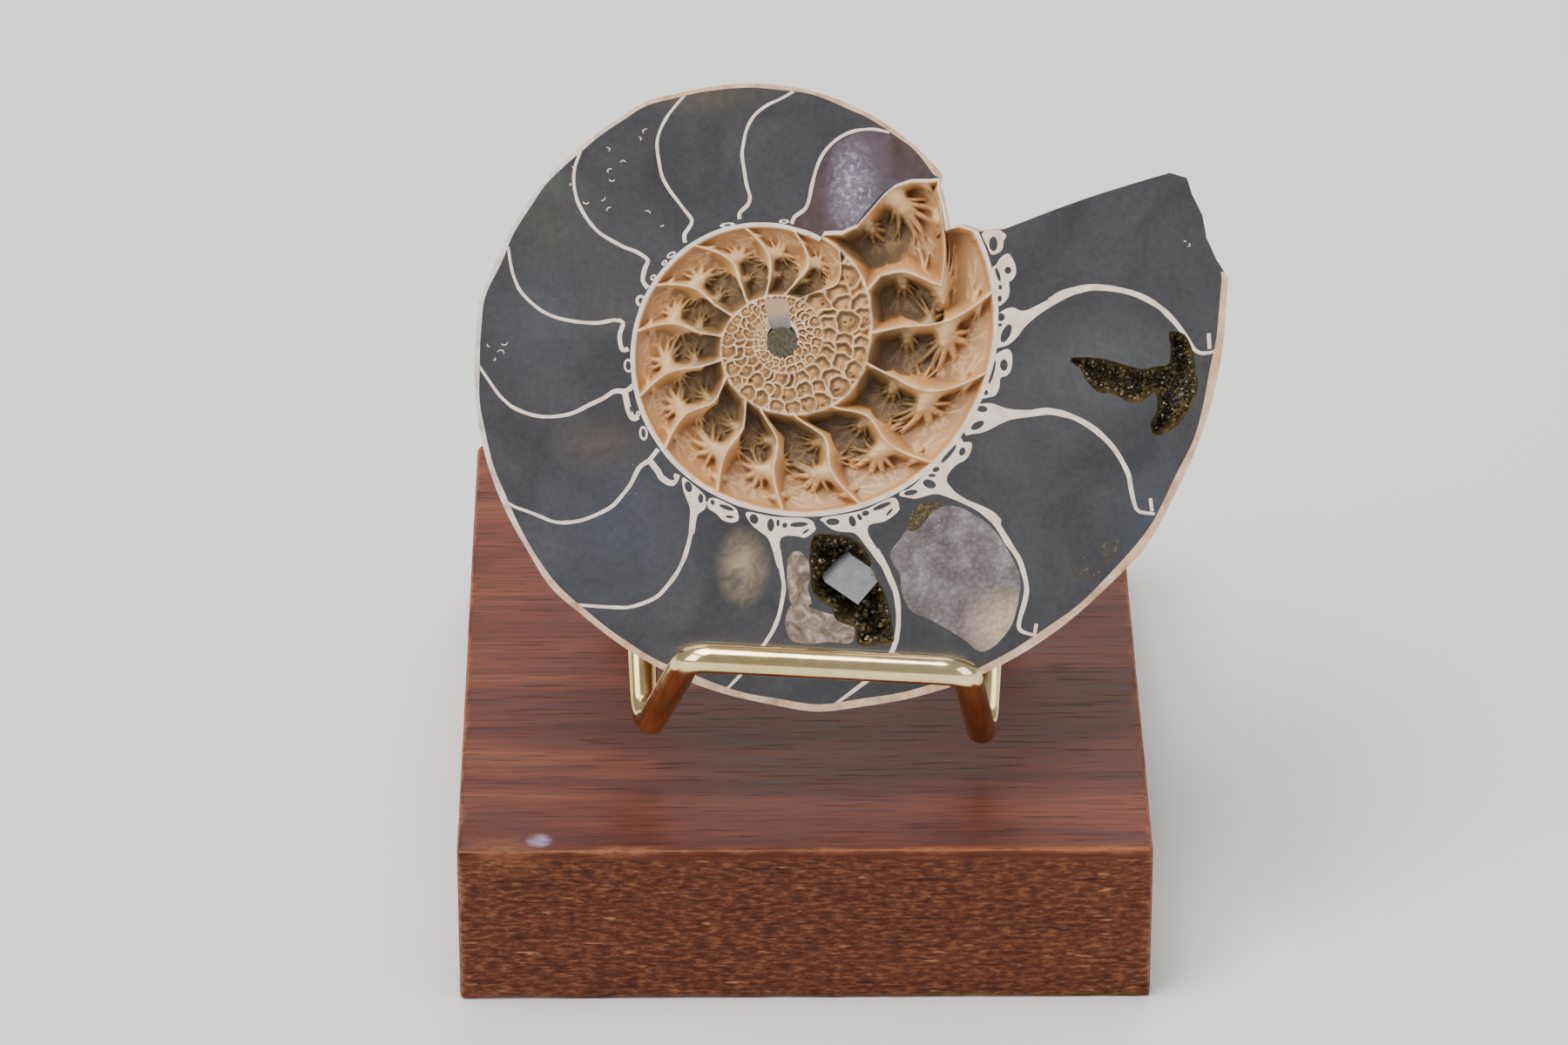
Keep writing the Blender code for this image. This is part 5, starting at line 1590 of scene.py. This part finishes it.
POST_Y = 6.0
POST_FOOT = 8.3
CREST_BEND, HEEL_BEND, TOE_BEND = 4.2, 3.2, 3.0
EASEL_CORNERS = (
    ((-20.5, POST_Y, POST_FOOT), 0.0), ((-20.5, POST_Y, 70.0), CREST_BEND),
    ((-20.5, -3.2, 70.0), CREST_BEND), ((-18.4, -30.6, 24.6), HEEL_BEND),
    ((-13.2, -45.4, 42.9), TOE_BEND), ((18.4, -46.4, 41.4), TOE_BEND),
    ((21.0, -31.4, 23.7), HEEL_BEND), ((24.0, -1.7, 70.0), CREST_BEND),
    ((24.0, POST_Y, 70.0), CREST_BEND), ((24.0, POST_Y, POST_FOOT), 0.0),
)
BEND_STEPS = 16
WIRE_SIDES = 40


def rounded_route(corners):
    """Points along a wire that is bent at each inner corner to the bend radius given with it."""
    corners = [(Vector(place), bend) for place, bend in corners]
    route = [corners[0][0]]
    for (before, _), (corner, bend), (after, _) in zip(corners, corners[1:], corners[2:]):
        back = (before - corner).normalized()
        ahead = (after - corner).normalized()
        half_angle = back.angle(ahead) / 2
        tangent = bend / math.tan(half_angle)
        start = corner + back * tangent
        end = corner + ahead * tangent
        centre = corner + (back + ahead).normalized() * (bend / math.sin(half_angle))
        for step in range(BEND_STEPS + 1):
            arm = (start - centre).normalized().slerp((end - centre).normalized(), step / BEND_STEPS)
            route.append(centre + arm * bend)
    route.append(corners[-1][0])
    return route


def build_easel(diameter):
    """A round wire swept along the easel's bent route."""
    route = rounded_route(EASEL_CORNERS)
    points, side = [], None
    radius = diameter / MM / 2
    for index, place in enumerate(route):
        run = (route[min(index + 1, len(route) - 1)] - route[max(index - 1, 0)]).normalized()
        side = run.orthogonal() if side is None else side
        side = (side - run * side.dot(run)).normalized()
        other = run.cross(side)
        for step in range(WIRE_SIDES):
            angle = math.tau * step / WIRE_SIDES
            points.append(place + radius * (side * math.cos(angle) + other * math.sin(angle)))
    points = np.array([tuple(point) for point in points]) * MM
    faces = []
    for row in range(len(route) - 1):
        for step in range(WIRE_SIDES):
            after = (step + 1) % WIRE_SIDES
            faces.append((row * WIRE_SIDES + step, row * WIRE_SIDES + after,
                          (row + 1) * WIRE_SIDES + after, (row + 1) * WIRE_SIDES + step))
    last = (len(route) - 1) * WIRE_SIDES
    faces.append(tuple(range(WIRE_SIDES - 1, -1, -1)))
    faces.append(tuple(range(last, last + WIRE_SIDES)))
    points, faces = turned_out(points, faces)
    return add_piece("easel", points, faces, [finish("brass")], None, 50.0)


# Mahogany block

EDGE_STEPS = (0.0, 0.12, 0.26, 0.42, 0.6, 0.85, 1.2, 1.8, 2.8)
CHIP_CENTRE, CHIP_HALF, CHIP_DEPTH = -34.5, 5.0, 0.8
HOLE_CLEARANCE = 0.3
HOLE_RADIUS = 2.0 * MM
POST_PLACES = (-20.5, 24.0)
BLOCK_CELL = 1.4


def side_steps(half):
    """Places along a side, close together near both ends."""
    inner = np.arange(-half + EDGE_STEPS[-1] + BLOCK_CELL, half - EDGE_STEPS[-1] - 0.5, BLOCK_CELL)
    low = [-half + step for step in EDGE_STEPS]
    return np.array(low + list(inner) + [-place for place in reversed(low)])


def build_block(edge):
    """The block: a grid over a box whose edges are rounded unevenly, with a splinter off one edge."""
    low, high = np.array(BLOCK_LOW) / MM, np.array(BLOCK_HIGH) / MM
    centre, half = (low + high) / 2, (high - low) / 2
    shapes, faces, count = [], [], 0
    for axis in range(3):
        first, second = (axis + 1) % 3, (axis + 2) % 3
        across, up = side_steps(half[first]), side_steps(half[second])
        for sign in (-1.0, 1.0):
            grid = np.zeros((len(across), len(up), 3))
            grid[..., axis] = sign * half[axis]
            grid[..., first] = across[:, None]
            grid[..., second] = up[None, :]
            faces += grid_faces(len(across), len(up), count, sign < 0)
            shapes.append(grid.reshape(-1, 3))
            count += grid.shape[0] * grid.shape[1]
    points = np.concatenate(shapes)
    waver = np.array([noise.fractal(Vector(point) * 0.12, 1.0, 2.0, 3) for point in points])
    fine = np.array([noise.noise(Vector(point) * 0.9) for point in points])
    along = np.clip(1.0 - ((points[:, 0] - CHIP_CENTRE) / CHIP_HALF) ** 2, 0.0, 1.0)
    front_top = np.hypot(points[:, 1] + half[1], points[:, 2] - half[2])
    chip = along * np.clip(1.0 - front_top / 4.0, 0.0, 1.0)
    radius = edge / MM * (1.3 + 0.9 * waver + 0.25 * fine) + 1.2 * CHIP_DEPTH * along * (front_top < 4.0)
    radius = np.clip(radius, 0.3, 2.2)[:, None]
    core = np.clip(points, -half + radius, half - radius)
    away = points - core
    reach = np.linalg.norm(away, axis=1)[:, None]
    rounded_points = core + away / np.maximum(reach, 1e-6) * radius
    nearness = np.sort(half - np.abs(points), axis=1)[:, 1]
    worn = np.clip(1.0 - nearness / (0.6 + 0.9 * waver + 0.5 * fine).clip(0.15, 2.0), 0.0, 1.0)
    worn = np.clip(np.maximum(worn * 0.8, chip * 0.5), 0.0, 1.0)
    points, faces = turned_out((rounded_points + centre) * MM, faces)
    piece = add_piece("block", points, faces, [finish("mahogany")], None, 60.0, {"worn": worn})
    clean_normals(piece, merge=True)
    for place in POST_PLACES:
        drill_hole(piece, place)
    return piece


def drill_hole(piece, place_x):
    """A blind hole for one post of the easel."""
    depth = BLOCK_HIGH.z - (POST_FOOT - HOLE_CLEARANCE) * MM
    bpy.ops.object.select_all(action="DESELECT")
    bpy.ops.mesh.primitive_cylinder_add(
        vertices=48, radius=HOLE_RADIUS, depth=2 * depth,
        location=(place_x * MM, POST_Y * MM, BLOCK_HIGH.z))
    drill = bpy.context.object
    bpy.ops.object.transform_apply(location=True, rotation=False, scale=False)
    drill.data.materials.append(finish("mahogany"))
    cut = piece.modifiers.new("post_hole", "BOOLEAN")
    cut.operation = "DIFFERENCE"
    cut.solver = "EXACT"
    cut.object = drill
    bpy.context.view_layer.objects.active = piece
    bpy.ops.object.modifier_apply(modifier=cut.name)
    bpy.data.objects.remove(drill)


# Operators

class StandSizes(bpy.types.PropertyGroup):
    wire_diameter: bpy.props.FloatProperty(
        name="Wire diameter", description="Thickness of the easel's brass wire",
        default=3.4 * MM, min=1.0 * MM, max=6.0 * MM, unit="LENGTH")
    block_edge: bpy.props.FloatProperty(
        name="Block edge", description="Rounding of the block's edges",
        default=0.5 * MM, min=0.1 * MM, max=3.0 * MM, unit="LENGTH")
    light_strength: bpy.props.FloatProperty(
        name="Light", description="Strength of the main soft light", default=1.0, min=0.0, max=10.0)


class AMMONITE_OT_shell(bpy.types.Operator):
    """Model the filled outer whorl and the shell round it"""
    bl_idname = "ammonite.shell"
    bl_label = "Shell and filling"

    def execute(self, context):
        hand_over(build_shell(), "fossil_stone", "ammonite_half")
        return {"FINISHED"}


class AMMONITE_OT_chambers(bpy.types.Operator):
    """Model the open chambers and the small cells of the heart"""
    bl_idname = "ammonite.chambers"
    bl_label = "Open chambers"

    def execute(self, context):
        for piece in build_chambers():
            hand_over(piece, "fossil_stone")
        return {"FINISHED"}


class AMMONITE_OT_heart(bpy.types.Operator):
    """Model the plug of the heart and the crystals of the two hollows"""
    bl_idname = "ammonite.heart"
    bl_label = "Heart and crystals"

    def execute(self, context):
        hand_over(build_plug(), "fossil_stone")
        hand_over(build_lower_druse(), "calcite", "crystal_crust_lower")
        hand_over(build_right_druse(), "dark_druse", "crystal_crust_right")
        return {"FINISHED"}


class AMMONITE_OT_easel(bpy.types.Operator):
    """Model the bent brass wire easel"""
    bl_idname = "ammonite.easel"
    bl_label = "Wire easel"

    def execute(self, context):
        hand_over(build_easel(context.scene.stand_sizes.wire_diameter), "brass_wire", "wire_easel")
        return {"FINISHED"}


class AMMONITE_OT_block(bpy.types.Operator):
    """Model the worn mahogany block"""
    bl_idname = "ammonite.block"
    bl_label = "Block"

    def execute(self, context):
        hand_over(build_block(context.scene.stand_sizes.block_edge), "mahogany", "base_block")
        return {"FINISHED"}


class AMMONITE_OT_stage(bpy.types.Operator):
    """Set up the floor, the soft lights and the camera"""
    bl_idname = "ammonite.stage"
    bl_label = "Floor, lights and camera"

    def execute(self, context):
        build_stage(context.scene.stand_sizes.light_strength)
        return {"FINISHED"}


# The view of the photograph
CAMERA_PLACE = Vector((-9.6, -854.8, 499.8)) * MM
CAMERA_PITCH = math.radians(28.5)
CAMERA_YAW = math.radians(0.51)
CAMERA_LENS = 187.3
SENSOR_WIDTH = 36.0
FLOOR_SIZE = 4.0
AIR_COLOUR = (0.86, 0.86, 0.88, 1.0)
AIR_STRENGTH = 0.45
# Soft lights: place and aim in metres, side, power in watts, colour
LIGHTS = (
    ("overhead_softbox", (-0.18, -0.12, 0.75), (0.0, -0.01, 0.04), 0.55, 9.0, (1.0, 0.97, 0.93)),
    ("left_fill", (-0.75, -0.5, 0.45), (0.0, -0.02, 0.05), 0.6, 5.0, (0.94, 0.97, 1.0)),
    ("right_fill", (0.8, -0.3, 0.35), (0.0, -0.02, 0.05), 0.6, 3.0, (1.0, 0.97, 0.94)),
    ("back_light", (0.1, 0.7, 0.6), (0.0, 0.0, 0.06), 0.5, 5.0, (1.0, 1.0, 1.0)),
)


def build_stage(strength):
    """The floor, four soft lights, pale surroundings and the camera of the photograph's view."""
    bpy.ops.mesh.primitive_plane_add(size=FLOOR_SIZE, location=(0.0, 0.6, 0.0))
    floor = bpy.context.object
    floor.name = "studio_floor"
    floor.data.materials.append(finish("floor"))
    for name, place, aim, size, power, colour in LIGHTS:
        data = bpy.data.lights.new(name, "AREA")
        data.shape = "SQUARE"
        data.size = size
        data.energy = power * strength
        data.color = colour
        light = bpy.data.objects.new(name, data)
        bpy.context.scene.collection.objects.link(light)
        light.location = place
        light.rotation_euler = (Vector(aim) - Vector(place)).to_track_quat("-Z", "Y").to_euler()
    world = bpy.data.worlds.new("studio_air")
    world.use_nodes = True
    air = world.node_tree.nodes["Background"]
    air.inputs["Color"].default_value = AIR_COLOUR
    air.inputs["Strength"].default_value = AIR_STRENGTH
    bpy.context.scene.world = world
    data = bpy.data.cameras.new("photo_camera")
    data.lens = CAMERA_LENS
    data.sensor_width = SENSOR_WIDTH
    camera = bpy.data.objects.new("photo_camera", data)
    bpy.context.scene.collection.objects.link(camera)
    camera.location = CAMERA_PLACE
    camera.rotation_euler = (math.pi / 2 - CAMERA_PITCH, 0.0, -CAMERA_YAW)
    bpy.context.scene.camera = camera


class AMMONITE_PT_panel(bpy.types.Panel):
    bl_label = "Ammonite"
    bl_idname = "AMMONITE_PT_panel"
    bl_space_type = "VIEW_3D"
    bl_region_type = "UI"
    bl_category = "Ammonite"

    def draw(self, context):
        sizes = context.scene.stand_sizes
        for name in ("wire_diameter", "block_edge", "light_strength"):
            self.layout.prop(sizes, name)
        for operator in OPERATORS:
            self.layout.operator(operator.bl_idname)


OPERATORS = (AMMONITE_OT_shell, AMMONITE_OT_chambers, AMMONITE_OT_heart, AMMONITE_OT_easel,
             AMMONITE_OT_block, AMMONITE_OT_stage)
CLASSES = (StandSizes, *OPERATORS, AMMONITE_PT_panel)


def register():
    for item in CLASSES:
        bpy.utils.register_class(item)
    bpy.types.Scene.stand_sizes = bpy.props.PointerProperty(type=StandSizes)


def unregister():
    del bpy.types.Scene.stand_sizes
    for item in reversed(CLASSES):
        bpy.utils.unregister_class(item)


def main():
    register()
    bpy.ops.object.select_all(action="DESELECT")
    bpy.ops.ammonite.shell()
    bpy.ops.ammonite.chambers()
    bpy.ops.ammonite.heart()
    bpy.ops.ammonite.easel()
    bpy.ops.ammonite.block()
    bpy.ops.ammonite.stage()


if __name__ == "__main__":
    main()
